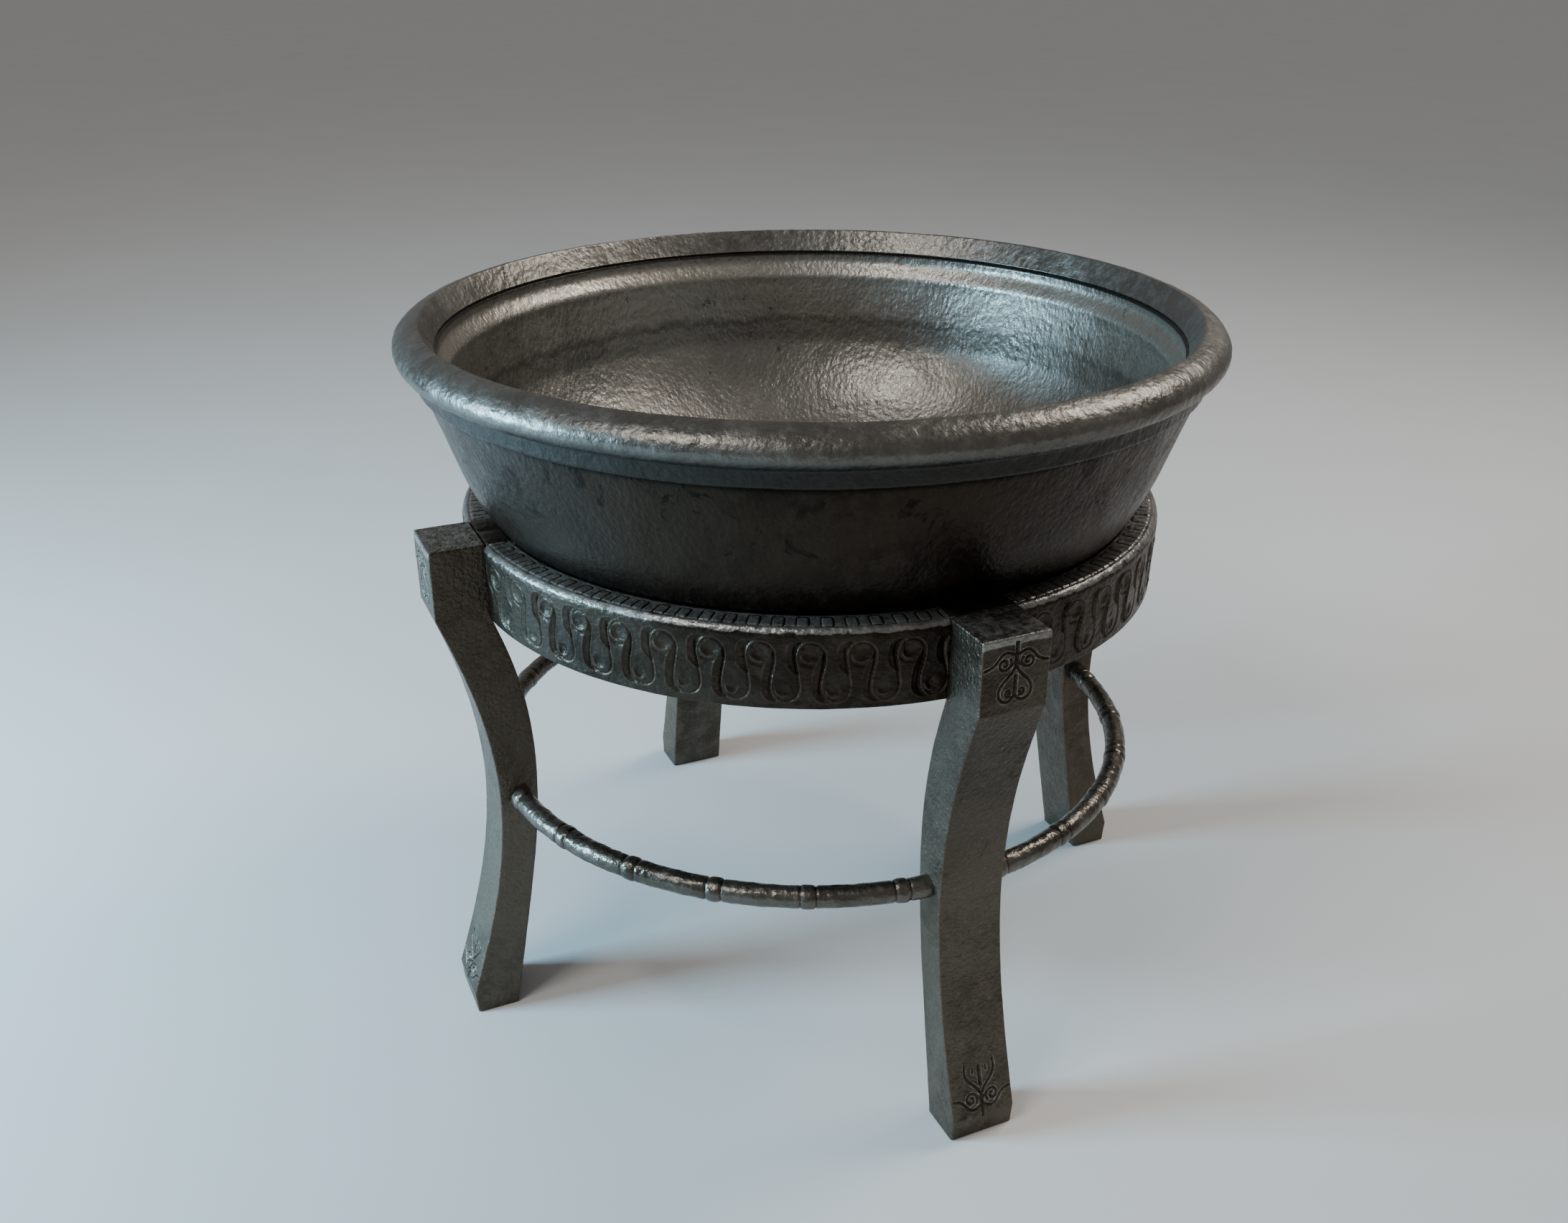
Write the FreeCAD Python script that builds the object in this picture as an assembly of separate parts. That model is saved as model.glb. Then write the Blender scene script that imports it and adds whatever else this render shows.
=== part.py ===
"""Coal forge: an iron fire bowl with a rolled rim, standing loose in an ornamental ring on four curved legs.

Millimetres, +Z up. The origin is on the floor, under the middle of the bowl. -Y is the front.
One STEP file per piece is written to parts/.
"""

import FreeCAD
import Part
import math
import os

from FreeCAD import Vector

# ---------------------------------------------------------------- driving sizes, stand
ring_top_height = 449.0          # floor to the top of the ring
ring_height = 65.0               # height of the ring's outer face
ring_width = 31.1                # seat's foot to the ring's outside
ring_taper = 1.7                 # how much smaller the outer radius is at the ring's foot
ring_bevel = 4.5                 # bevel on the ring's outer top edge
ring_web = 21.0                  # radial thickness of the ring below its top flange
ring_flange = 16.0               # thickness of the top flange that carries the bowl
leg_count = 4
leg_width = 56.4                 # width of a leg, along the ring
leg_housing_depth = 5.0          # how far a leg is let into the ring
leg_block_projection = 41.0      # how far the block at a leg's top stands out of the ring
leg_block_foot = 6.0             # how far the block's straight face ends above the ring's foot
shoulder_height_share = 0.72     # shoulder station, as a share of the way from stretcher to ring
shoulder_outset = 1.4            # shoulder's middle, outside the ring's outer radius
shoulder_depth = 42.6            # radial thickness of a leg at its shoulder
waist_inset = 13.7               # waist's middle, inside the ring's outer radius
waist_depth = 33.4               # radial thickness of a leg at its waist
calf_height_share = 0.42         # calf station, as a share of the stretcher's height
calf_outset = 3.8                # calf's middle, outside the ring's outer radius
calf_depth = 34.0                # radial thickness of a leg at its calf
toe_height = 20.0                # height where the foot stands out furthest
foot_outset = 42.0               # foot's furthest point, outside the ring's outer radius
foot_depth = 37.0                # radial thickness of a leg at the floor
toe_undercut = 2.0               # how far the foot's outer face leans back to the floor
stretcher_height = 214.0         # floor to the middle of the bars between the legs
stretcher_diameter = 19.6        # plain bar
knuckle_diameter = 22.0          # raised bands along a bar
knuckle_length = 10.0
knuckle_pitch = 14.6             # degrees of the bar's curve from one band to the next
tenon_diameter = 12.0
tenon_length = 16.0
tenon_clearance = 0.1
pin_radius = 2.5                 # pin through a tenon, driven from a leg's inner face
pin_clearance = 0.05
pin_reach = 3.0                  # pin past the tenon's far side

# ---------------------------------------------------------------- driving sizes, bowl
rim_outer_radius = 340.0
rim_width = 43.0                 # long axis of the rolled rim's oval section
rim_thickness = 31.0             # short axis of that oval
rim_tilt = 14.0                  # degrees that the oval drops towards the outside
rim_rise = 29.5                  # middle of the oval above the skirt's foot
rim_crest_inset = 23.0           # rim's outside to the crest, where its inner face starts
rim_crest_round = 6.0            # rounding of that crest
lip_inset = 20.4                 # rim's outside to the outside of the bowl's lip
lip_thickness = 14.6             # radial thickness of the lip that carries the rim
lip_height = 24.0                # top of the lip above the skirt's foot
lip_clearance = 0.15
ledge_drop = 8.0                 # top of the lip down to the start of the ledge inside it
ledge_height = 11.0
ledge_width = 6.6                # how far the ledge comes in
ledge_foot_drop = 26.0           # top of the lip down to the straight wall
ledge_foot_width = 8.6           # how far in the straight wall starts
skirt_thickness = 5.0            # skirt of the rim, outside the bowl's wall
skirt_height = 20.0
bowl_sink = 79.0                 # bowl's underside below the ring's top
bowl_depth = 190.3               # bowl's underside to the skirt's foot
bowl_wall = 9.0
bowl_wall_angle = 19.0           # degrees from upright
bowl_arc_radius = 185.0          # outside radius where the wall turns into the bottom
floor_thickness = 14.0
seat_clearance = 0.3             # bowl to the ring's seat
seat_depth = 10.0                # height of the coned seat in the ring

# ---------------------------------------------------------------- driving sizes, air supply
blast_hole_radius = 40.0         # hole in the bowl's bottom and bore of the air pot
grate_radius = 61.0
grate_thickness = 8.0
grate_recess = 6.0               # depth of the recess that holds the grate
grate_clearance = 0.8            # round the grate
grate_rest_gap = 0.3             # under the grate
grate_slot_width = 8.0
grate_bar_width = 6.0
flange_radius = 92.0
flange_thickness = 10.0
flange_bolt_count = 4
pot_wall = 6.5
pot_length = 95.0                # air pot below its flange
pot_foot_thickness = 8.0
pot_foot_lip = 9.0               # foot flange beyond the pot's outside
inlet_drop = 47.0                # inlet's axis below the flange's underside
inlet_bore_radius = 25.5         # socket for the blower's or bellows' pipe
inlet_socket_length = 55.0
inlet_wall = 6.0
inlet_passage_radius = 21.0
inlet_shoulder = 14.0            # solid neck between the pot's outside and the socket
gate_thickness = 5.0
gate_gap = 0.5                   # gate to the pot's foot
gate_overlap = 8.0               # gate beyond the blast hole
gate_handle_length = 58.0
gate_handle_width = 16.0
gate_knob_radius = 11.0
gate_pivot_offset = 18.0         # pivot beyond the pot's outside
pivot_lug_radius = 12.0
pivot_clearance = 0.08

# ---------------------------------------------------------------- driving sizes, fasteners
screw_radius = 4.0
screw_clearance = 0.05           # round a screw's or bolt's shank and inside its nut
screw_head_radius = 7.5
screw_head_depth = 3.6
screw_bite = 26.0                # length of a leg screw inside the leg
screw_spacing = 24.0             # between a leg's two screws
driver_slot_width = 1.6
driver_slot_depth = 1.5
nut_across_flats = 13.0
nut_thickness = 6.5
bolt_stub = 3.0                  # bolt past its nut

# ---------------------------------------------------------------- derived places
ring_foot_height = ring_top_height - ring_height
bowl_underside = ring_top_height - bowl_sink
skirt_foot_height = bowl_underside + bowl_depth
lip_outer_radius = rim_outer_radius - lip_inset
lip_inner_radius = lip_outer_radius - lip_thickness
lip_top_height = skirt_foot_height + lip_height
floor_height = bowl_underside + floor_thickness
wall_tilt = math.radians(bowl_wall_angle)
arc_centre_height = bowl_underside + bowl_arc_radius
wall_offset = lip_outer_radius * math.cos(wall_tilt) - skirt_foot_height * math.sin(wall_tilt)
arc_centre_radius = ((wall_offset - bowl_arc_radius + arc_centre_height * math.sin(wall_tilt))
                     / math.cos(wall_tilt))

recess_radius = grate_radius + grate_clearance
recess_height = floor_height - grate_recess
flange_bolt_radius = (recess_radius + flange_radius) / 2
flange_top = bowl_underside
flange_underside = flange_top - flange_thickness
pot_radius = blast_hole_radius + pot_wall
pot_foot_height = flange_underside - pot_length
inlet_height = flange_underside - inlet_drop
inlet_neck_end = pot_radius + inlet_shoulder
inlet_mouth = inlet_neck_end + inlet_socket_length
gate_top = pot_foot_height - gate_gap
gate_radius = blast_hole_radius + gate_overlap
gate_pivot_x = pot_radius + gate_pivot_offset

UP = Vector(0, 0, 1)
CENTRE = Vector(0, 0, 0)


def bowl_outside(height):
    """Outside radius of the bowl's round lower part at a height."""
    drop = arc_centre_height - height
    return arc_centre_radius + math.sqrt(bowl_arc_radius ** 2 - drop ** 2)


seat_height = ring_top_height - seat_depth / 2
seat_sine = (arc_centre_height - seat_height) / bowl_arc_radius
seat_cosine = math.sqrt(1 - seat_sine ** 2)
seat_radius = bowl_outside(seat_height) + seat_clearance / seat_cosine
seat_spread = seat_depth / 2 * seat_sine / seat_cosine
seat_top_radius = seat_radius + seat_spread
seat_foot_radius = seat_radius - seat_spread
ring_outer_radius = seat_foot_radius + ring_width
leg_inner_face = ring_outer_radius - leg_housing_depth
stretcher_radius = ring_outer_radius - waist_inset
leg_side = leg_width / 2
tenon_radius_out = math.sqrt(stretcher_radius ** 2 - leg_side ** 2)
tenon_middle = leg_side - tenon_length / 2
waist_inner_face = stretcher_radius - waist_depth / 2
screw_hole_radius = screw_radius + screw_clearance
leg_names = ("front_right", "back_right", "back_left", "front_left")
leg_angles = [-45.0 + 360.0 / leg_count * number for number in range(leg_count)]
side_names = ("right", "back", "left", "front")
screw_heights = [ring_foot_height + (ring_height - ring_flange) / 2 + side * screw_spacing / 2
                 for side in (-1, 1)]


# ---------------------------------------------------------------- helpers
def at(radius, height, across=0.0):
    """Point in a leg's or the profile's own plane: radius out, across sideways, height up."""
    return Vector(radius, across, height)


def line(start, end):
    return Part.LineSegment(start, end).toShape()


def arc_through(start, middle, end):
    return Part.Arc(start, middle, end).toShape()


def outline(points):
    """Closed straight-sided face."""
    return Part.Face(Part.makePolygon(points + [points[0]]))


def spin(face, degrees=360.0):
    """Solid of revolution about the upright axis."""
    return face.revolve(CENTRE, UP, degrees)


def turned(shape, degrees):
    copy = shape.copy()
    copy.rotate(CENTRE, UP, degrees)
    return copy


def upright(radius, foot, top, x=0.0, y=0.0):
    return Part.makeCylinder(radius, top - foot, Vector(x, y, foot), UP)


def outward(radius, start, end, height, across=0.0):
    """Level cylinder along +X, out of the middle."""
    return Part.makeCylinder(radius, end - start, at(start, height, across), Vector(1, 0, 0))


def hexagon(across_flats, foot, thickness, x, y):
    corner = across_flats / math.sqrt(3)
    points = [Vector(x + corner * math.cos(math.radians(60 * n)),
                     y + corner * math.sin(math.radians(60 * n)), foot) for n in range(6)]
    return outline(points).extrude(Vector(0, 0, thickness))


def export(name, shape):
    """Writes one piece, which has to be valid closed solids."""
    solids = shape.Solids
    if not solids or not all(solid.isValid() and solid.isClosed() for solid in solids):
        raise ValueError(name + " is not made of valid closed solids")
    kept = solids[0] if len(solids) == 1 else Part.makeCompound(solids)
    kept.exportStep(os.path.join("parts", name + ".step"))


# ---------------------------------------------------------------- stand
def leg_blank():
    """A leg before its holes, standing along +X: two smooth curves and a straight block on top."""
    shoulder_height = stretcher_height + shoulder_height_share * (ring_foot_height - stretcher_height)
    calf_height = stretcher_height * calf_height_share
    block_foot = ring_foot_height + leg_block_foot
    block_face = ring_outer_radius + leg_block_projection
    toe_face = ring_outer_radius + foot_outset
    shoulder = ring_outer_radius + shoulder_outset
    waist = ring_outer_radius - waist_inset
    calf = ring_outer_radius + calf_outset
    outer_foot = at(toe_face - toe_undercut, 0)
    inner_foot = at(toe_face - toe_undercut - foot_depth, 0)
    outer_points = [
        at(block_face, block_foot),
        at(shoulder + shoulder_depth / 2, shoulder_height),
        at(waist + waist_depth / 2, stretcher_height),
        at(calf + calf_depth / 2, calf_height),
        at(toe_face, toe_height),
    ]
    inner_points = [
        at(leg_inner_face, ring_foot_height),
        at(shoulder - shoulder_depth / 2, shoulder_height),
        at(waist - waist_depth / 2, stretcher_height),
        at(calf - calf_depth / 2, calf_height),
        inner_foot,
    ]
    outer_curve = Part.BSplineCurve()
    outer_curve.interpolate(outer_points)
    inner_curve = Part.BSplineCurve()
    inner_curve.interpolate(inner_points)
    outer_top = at(block_face, ring_top_height)
    inner_top = at(leg_inner_face, ring_top_height)
    edges = [
        line(outer_top, outer_points[0]), outer_curve.toShape(), line(outer_points[-1], outer_foot),
        line(outer_foot, inner_foot), inner_curve.toShape(), line(inner_points[0], inner_top),
        line(inner_top, outer_top),
    ]
    face = Part.Face(Part.Wire(Part.__sortEdges__(edges)))
    face.translate(Vector(0, -leg_side, 0))
    return face.extrude(Vector(0, leg_width, 0))


def leg():
    """Leg with blind holes for its two screws and for a bar's tenon on each side."""
    shape = leg_blank()
    for height in screw_heights:
        shape = shape.cut(outward(screw_hole_radius, leg_inner_face, leg_inner_face + screw_bite, height))
    for side in (-1, 1):
        hole = Part.makeCylinder(tenon_diameter / 2 + tenon_clearance, tenon_length + tenon_clearance,
                                 at(tenon_radius_out, stretcher_height, side * leg_side),
                                 Vector(0, -side, 0))
        shape = shape.cut(hole).cut(tenon_pin(side, pin_clearance))
    return shape


def tenon_pin(side, clearance=0.0):
    """Pin through one of a leg's two tenons, flush with the leg's inner face. +X is out of the leg."""
    tip = tenon_radius_out + tenon_diameter / 2 + pin_reach + clearance
    return outward(pin_radius + clearance, waist_inner_face - clearance, tip, stretcher_height,
                   side * tenon_middle)


def leg_screw(height):
    """Countersunk screw from inside the ring into a leg, along +X."""
    head_face = ring_outer_radius - ring_web + driver_slot_depth / 3
    tip = leg_inner_face + screw_bite
    shank = outward(screw_radius, head_face, tip, height)
    head = Part.makeCone(screw_head_radius, screw_radius, screw_head_depth, at(head_face, height),
                         Vector(1, 0, 0))
    slot = Part.makeBox(driver_slot_depth, screw_head_radius * 2, driver_slot_width,
                        at(head_face, height - driver_slot_width / 2, -screw_head_radius))
    return shank.fuse(head).cut(slot)


def leg_screw_hole(height):
    """Clearance for a leg screw through the ring's web."""
    head_face = ring_outer_radius - ring_web + driver_slot_depth / 3
    start = ring_outer_radius - ring_web - leg_housing_depth
    shank = outward(screw_hole_radius, start, ring_outer_radius, height)
    head = Part.makeCone(screw_head_radius, screw_radius, screw_head_depth, at(head_face, height),
                         Vector(1, 0, 0))
    mouth = outward(screw_head_radius, start, head_face, height)
    return shank.fuse(head).fuse(mouth)


def stand_ring():
    """Ring with a coned seat for the bowl, a bevelled top edge and a housing for each leg."""
    web_inside = ring_outer_radius - ring_web
    foot_radius = ring_outer_radius - ring_taper
    points = [
        at(seat_top_radius, ring_top_height),
        at(ring_outer_radius - ring_bevel, ring_top_height),
        at(ring_outer_radius, ring_top_height - ring_bevel),
        at(foot_radius, ring_foot_height),
        at(web_inside, ring_foot_height),
        at(web_inside, ring_top_height - ring_flange - (web_inside - seat_foot_radius)),
        at(seat_foot_radius, ring_top_height - ring_flange),
        at(seat_foot_radius, ring_top_height - seat_depth),
    ]
    shape = spin(outline(points))
    housing = Part.makeBox(leg_block_projection + leg_housing_depth, leg_width, ring_height,
                           at(leg_inner_face, ring_foot_height, -leg_side))
    for angle in leg_angles:
        shape = shape.cut(turned(housing, angle))
        for height in screw_heights:
            shape = shape.cut(turned(leg_screw_hole(height), angle))
    return shape


def bar_section(diameter):
    circle = Part.Circle(at(stretcher_radius, stretcher_height), Vector(0, 1, 0), diameter / 2)
    return Part.Face(Part.Wire(circle.toShape()))


def stretcher(start_angle):
    """Bar bent to the ring's curve, from one leg's side to the next, with a tenon at each end.

    The raised bands start at the first leg's side and follow at one pitch.
    """
    step = 360.0 / leg_count
    half_leg = math.degrees(math.asin(leg_side / stretcher_radius))
    free = step - 2 * half_leg
    shape = turned(spin(bar_section(stretcher_diameter), step), start_angle)
    knuckle = math.degrees(knuckle_length / stretcher_radius)
    for number in range(int(free // knuckle_pitch) + 1):
        band = turned(spin(bar_section(knuckle_diameter), knuckle), half_leg + number * knuckle_pitch)
        shape = shape.fuse(turned(band, start_angle))
    reach = stretcher_radius + knuckle_diameter
    slab = Part.makeBox(reach, leg_width, knuckle_diameter * 2,
                        at(0, stretcher_height - knuckle_diameter, -leg_side))
    for angle, side in ((start_angle, 1), (start_angle + step, -1)):
        shape = shape.cut(turned(slab, angle))
        tenon = Part.makeCylinder(tenon_diameter / 2, tenon_length,
                                  at(tenon_radius_out, stretcher_height, side * leg_side),
                                  Vector(0, -side, 0))
        root = Part.makeCylinder(tenon_diameter / 2, tenon_diameter / 2,
                                 at(tenon_radius_out, stretcher_height, side * leg_side),
                                 Vector(0, side, 0))
        pinned = tenon.fuse(root).cut(tenon_pin(side, pin_clearance))
        shape = shape.fuse(turned(pinned, angle))
    return shape.removeSplitter()


# ---------------------------------------------------------------- bowl
def flange_bolt_places():
    """Middles of the bolts that hold the air pot, clear of the pot's inlet."""
    step = 360.0 / flange_bolt_count
    for number in range(flange_bolt_count):
        turn = math.radians(step * (number + 0.5))
        yield flange_bolt_radius * math.cos(turn), flange_bolt_radius * math.sin(turn)


def countersunk(x, y, face, length, shank_radius):
    """Upright countersunk bolt, or the hole for one, with its flat head at the top."""
    shank = upright(shank_radius, face - length, face, x, y)
    head = Part.makeCone(screw_radius, screw_head_radius, screw_head_depth,
                         Vector(x, y, face - screw_head_depth), UP)
    return shank.fuse(head)


def fire_bowl():
    """Bowl with a coned wall, a round turn into a flat bottom, an upright lip and a blast hole.

    A sloping ledge inside the lip leads down to the wall, which gets thinner towards the bottom.
    """
    tangent = Vector(math.cos(wall_tilt), 0, -math.sin(wall_tilt))
    centre = at(arc_centre_radius, arc_centre_height)
    inner_arc_radius = bowl_arc_radius - bowl_wall
    inner_floor_drop = arc_centre_height - floor_height
    inner_floor_radius = arc_centre_radius + math.sqrt(inner_arc_radius ** 2 - inner_floor_drop ** 2)
    half_turn = math.radians((90 + bowl_wall_angle) / 2)
    middle = Vector(math.cos(half_turn), 0, -math.sin(half_turn))
    outer_tangent = centre + tangent * bowl_arc_radius
    inner_tangent = centre + tangent * inner_arc_radius
    ledge_top = at(lip_inner_radius, lip_top_height - ledge_drop)
    ledge_end = at(lip_inner_radius - ledge_width, lip_top_height - ledge_drop - ledge_height)
    inner_wall_top = at(lip_inner_radius - ledge_foot_width, lip_top_height - ledge_foot_drop)
    outer_foot = at(arc_centre_radius, bowl_underside)
    inner_foot = at(inner_floor_radius, floor_height)
    edges = [
        line(at(blast_hole_radius, bowl_underside), outer_foot),
        arc_through(outer_foot, centre + middle * bowl_arc_radius, outer_tangent),
        line(outer_tangent, at(lip_outer_radius, skirt_foot_height)),
        line(at(lip_outer_radius, skirt_foot_height), at(lip_outer_radius, lip_top_height)),
        line(at(lip_outer_radius, lip_top_height), at(lip_inner_radius, lip_top_height)),
        line(at(lip_inner_radius, lip_top_height), ledge_top),
        line(ledge_top, ledge_end),
        line(ledge_end, inner_wall_top),
        line(inner_wall_top, inner_tangent),
        arc_through(inner_tangent, centre + middle * inner_arc_radius, inner_foot),
        line(inner_foot, at(recess_radius, floor_height)),
        line(at(recess_radius, floor_height), at(recess_radius, recess_height)),
        line(at(recess_radius, recess_height), at(blast_hole_radius, recess_height)),
        line(at(blast_hole_radius, recess_height), at(blast_hole_radius, bowl_underside)),
    ]
    shape = spin(Part.Face(Part.Wire(edges)))
    for x, y in flange_bolt_places():
        shape = shape.cut(countersunk(x, y, floor_height, floor_thickness * 2, screw_hole_radius))
    return shape


def rim_hoop():
    """Rolled rim: an oval hoop that caps the bowl's lip, with a sloping inner face and an outer skirt."""
    tilt = math.radians(rim_tilt)
    half_width = rim_width / 2
    half_thickness = rim_thickness / 2
    reach = math.hypot(half_width * math.cos(tilt), half_thickness * math.sin(tilt))
    middle = at(rim_outer_radius - reach, skirt_foot_height + rim_rise)
    long_end = middle + Vector(half_width * math.cos(tilt), 0, -half_width * math.sin(tilt))
    short_end = middle + Vector(half_thickness * math.sin(tilt), 0, half_thickness * math.cos(tilt))
    oval = Part.Face(Part.Wire(Part.Ellipse(long_end, short_end, middle).toShape()))
    rest = lip_top_height + lip_clearance
    crest_radius = rim_outer_radius - rim_crest_inset
    crest_height = middle.z + half_thickness
    inner_slope = (crest_radius - lip_inner_radius) / (crest_height - rest)
    well_inside = rim_outer_radius - 2 * rim_width
    well_above = crest_height + rim_thickness
    inner_cut = outline([
        at(well_inside, rest),
        at(lip_inner_radius, rest),
        at(lip_inner_radius + inner_slope * (well_above - rest), well_above),
        at(well_inside, well_above),
    ])
    skirt_inside = lip_outer_radius + lip_clearance
    rebate = outline([
        at(well_inside, skirt_foot_height - lip_clearance),
        at(skirt_inside, skirt_foot_height - lip_clearance),
        at(skirt_inside, rest),
        at(well_inside, rest),
    ])
    shape = spin(oval.cut(inner_cut).cut(rebate).Faces[0])
    crest = [edge for edge in shape.Edges if edge.Vertexes[0].Z > crest_height - rim_crest_round
             and edge.BoundBox.XMax < middle.x + half_width / 2 and edge.BoundBox.ZLength < lip_clearance]
    shape = shape.makeFillet(rim_crest_round, crest)
    skirt = spin(outline([
        at(skirt_inside, skirt_foot_height),
        at(lip_outer_radius + skirt_thickness, skirt_foot_height),
        at(lip_outer_radius + skirt_thickness + skirt_height * math.tan(wall_tilt) / 2,
           skirt_foot_height + skirt_height),
        at(skirt_inside, skirt_foot_height + skirt_height),
    ]))
    return shape.fuse(skirt).removeSplitter()


# ---------------------------------------------------------------- air supply
def fire_grate():
    """Loose round grate over the blast hole, with straight slots that stop inside the hole."""
    foot = recess_height + grate_rest_gap
    shape = upright(grate_radius, foot, foot + grate_thickness)
    pitch = grate_slot_width + grate_bar_width
    reach = blast_hole_radius - grate_slot_width / 2
    slot_count = int(reach // pitch)
    for number in range(-slot_count, slot_count + 1):
        x = number * pitch
        half = math.sqrt(reach ** 2 - x ** 2) - grate_slot_width / 2
        if half < grate_slot_width:
            continue
        slot = Part.makeBox(grate_slot_width, 2 * half, grate_thickness,
                            Vector(x - grate_slot_width / 2, -half, foot))
        for end in (-half, half):
            slot = slot.fuse(upright(grate_slot_width / 2, foot, foot + grate_thickness, x, end))
        shape = shape.cut(slot)
    return shape


def air_pot():
    """Pot below the blast hole: a bolted flange, a pipe, a side socket and a lug for the gate."""
    back = Vector(0, 1, 0)
    foot_radius = pot_radius + pot_foot_lip
    shape = upright(flange_radius, flange_underside, flange_top)
    shape = shape.fuse(upright(pot_radius, pot_foot_height, flange_top))
    shape = shape.fuse(upright(foot_radius, pot_foot_height, pot_foot_height + pot_foot_thickness))
    shape = shape.fuse(upright(pivot_lug_radius, pot_foot_height, pot_foot_height + pot_foot_thickness,
                               gate_pivot_x))
    web = Part.makeBox(gate_pivot_x, 2 * pivot_lug_radius, pot_foot_thickness,
                       Vector(0, -pivot_lug_radius, pot_foot_height))
    shape = shape.fuse(web)
    inlet_foot = Vector(0, 0, inlet_height)
    socket_foot = Vector(0, inlet_neck_end, inlet_height)
    socket_radius = inlet_bore_radius + inlet_wall
    bead = Part.makeCylinder(socket_radius + inlet_wall / 2, inlet_wall,
                             Vector(0, inlet_mouth - inlet_wall, inlet_height), back)
    shape = shape.fuse(Part.makeCylinder(socket_radius, inlet_mouth, inlet_foot, back)).fuse(bead)
    shape = shape.cut(upright(blast_hole_radius, pot_foot_height, flange_top))
    shape = shape.cut(Part.makeCylinder(inlet_passage_radius, inlet_mouth, inlet_foot, back))
    shape = shape.cut(Part.makeCylinder(inlet_bore_radius, inlet_socket_length, socket_foot, back))
    for x, y in flange_bolt_places():
        shape = shape.cut(upright(screw_hole_radius, flange_underside, flange_top, x, y))
    shape = shape.cut(upright(screw_hole_radius, pot_foot_height, pot_foot_height + pot_foot_thickness,
                              gate_pivot_x))
    return shape.removeSplitter()


def flange_bolts():
    length = floor_height - flange_underside + nut_thickness + bolt_stub
    bolts = []
    for x, y in flange_bolt_places():
        slot = Part.makeBox(screw_head_radius * 2, driver_slot_width, driver_slot_depth,
                            Vector(x - screw_head_radius, y - driver_slot_width / 2,
                                   floor_height - driver_slot_depth))
        bolts.append(countersunk(x, y, floor_height, length, screw_radius).cut(slot))
    return Part.makeCompound(bolts)


def flange_nuts():
    nuts = []
    for x, y in flange_bolt_places():
        nut = hexagon(nut_across_flats, flange_underside - nut_thickness, nut_thickness, x, y)
        nuts.append(nut.cut(upright(screw_hole_radius, flange_underside - nut_thickness,
                                    flange_underside, x, y)))
    return Part.makeCompound(nuts)


def ash_gate():
    """Flat gate that swings aside under the pot, with a handle and knob away from its pivot."""
    foot = gate_top - gate_thickness
    handle_end = -(gate_radius + gate_handle_length)
    shape = upright(gate_radius, foot, gate_top)
    shape = shape.fuse(upright(pivot_lug_radius, foot, gate_top, gate_pivot_x))
    shape = shape.fuse(Part.makeBox(gate_pivot_x, 2 * pivot_lug_radius, gate_thickness,
                                    Vector(0, -pivot_lug_radius, foot)))
    shape = shape.fuse(Part.makeBox(-handle_end, gate_handle_width, gate_thickness,
                                    Vector(handle_end, -gate_handle_width / 2, foot)))
    shape = shape.fuse(upright(gate_knob_radius, foot, gate_top, handle_end))
    hole = upright(screw_radius + pivot_clearance, foot, gate_top, gate_pivot_x)
    return shape.cut(hole).removeSplitter()


def gate_pivot_bolt():
    """Bolt the gate hangs on: a round head under the gate, its shank up through the lug."""
    head_top = gate_top - gate_thickness - gate_gap
    shank_top = pot_foot_height + pot_foot_thickness + nut_thickness + bolt_stub
    head = upright(screw_head_radius, head_top - screw_head_depth, head_top, gate_pivot_x)
    return head.fuse(upright(screw_radius, head_top, shank_top, gate_pivot_x)).removeSplitter()


def gate_pivot_nut():
    foot = pot_foot_height + pot_foot_thickness
    nut = hexagon(nut_across_flats, foot, nut_thickness, gate_pivot_x, 0)
    return nut.cut(upright(screw_hole_radius, foot, foot + nut_thickness, gate_pivot_x))


def main():
    os.makedirs("parts", exist_ok=True)
    export("stand_ring", stand_ring())
    for name, angle in zip(leg_names, leg_angles):
        export("leg_" + name, turned(leg(), angle))
    screws = [turned(leg_screw(height), angle) for angle in leg_angles for height in screw_heights]
    export("leg_screws", Part.makeCompound(screws))
    pins = [turned(tenon_pin(side), angle) for angle in leg_angles for side in (-1, 1)]
    export("tenon_pins", Part.makeCompound(pins))
    for name, angle in zip(side_names, leg_angles):
        export("stretcher_" + name, stretcher(angle))
    export("fire_bowl", fire_bowl())
    export("rim_hoop", rim_hoop())
    export("fire_grate", fire_grate())
    export("air_pot", air_pot())
    export("flange_bolts", flange_bolts())
    export("flange_nuts", flange_nuts())
    export("ash_gate", ash_gate())
    export("gate_pivot_bolt", gate_pivot_bolt())
    export("gate_pivot_nut", gate_pivot_nut())


main()
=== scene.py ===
"""Coal forge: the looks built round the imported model. Metres, +Z up, the same frame as the design."""

import math

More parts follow.
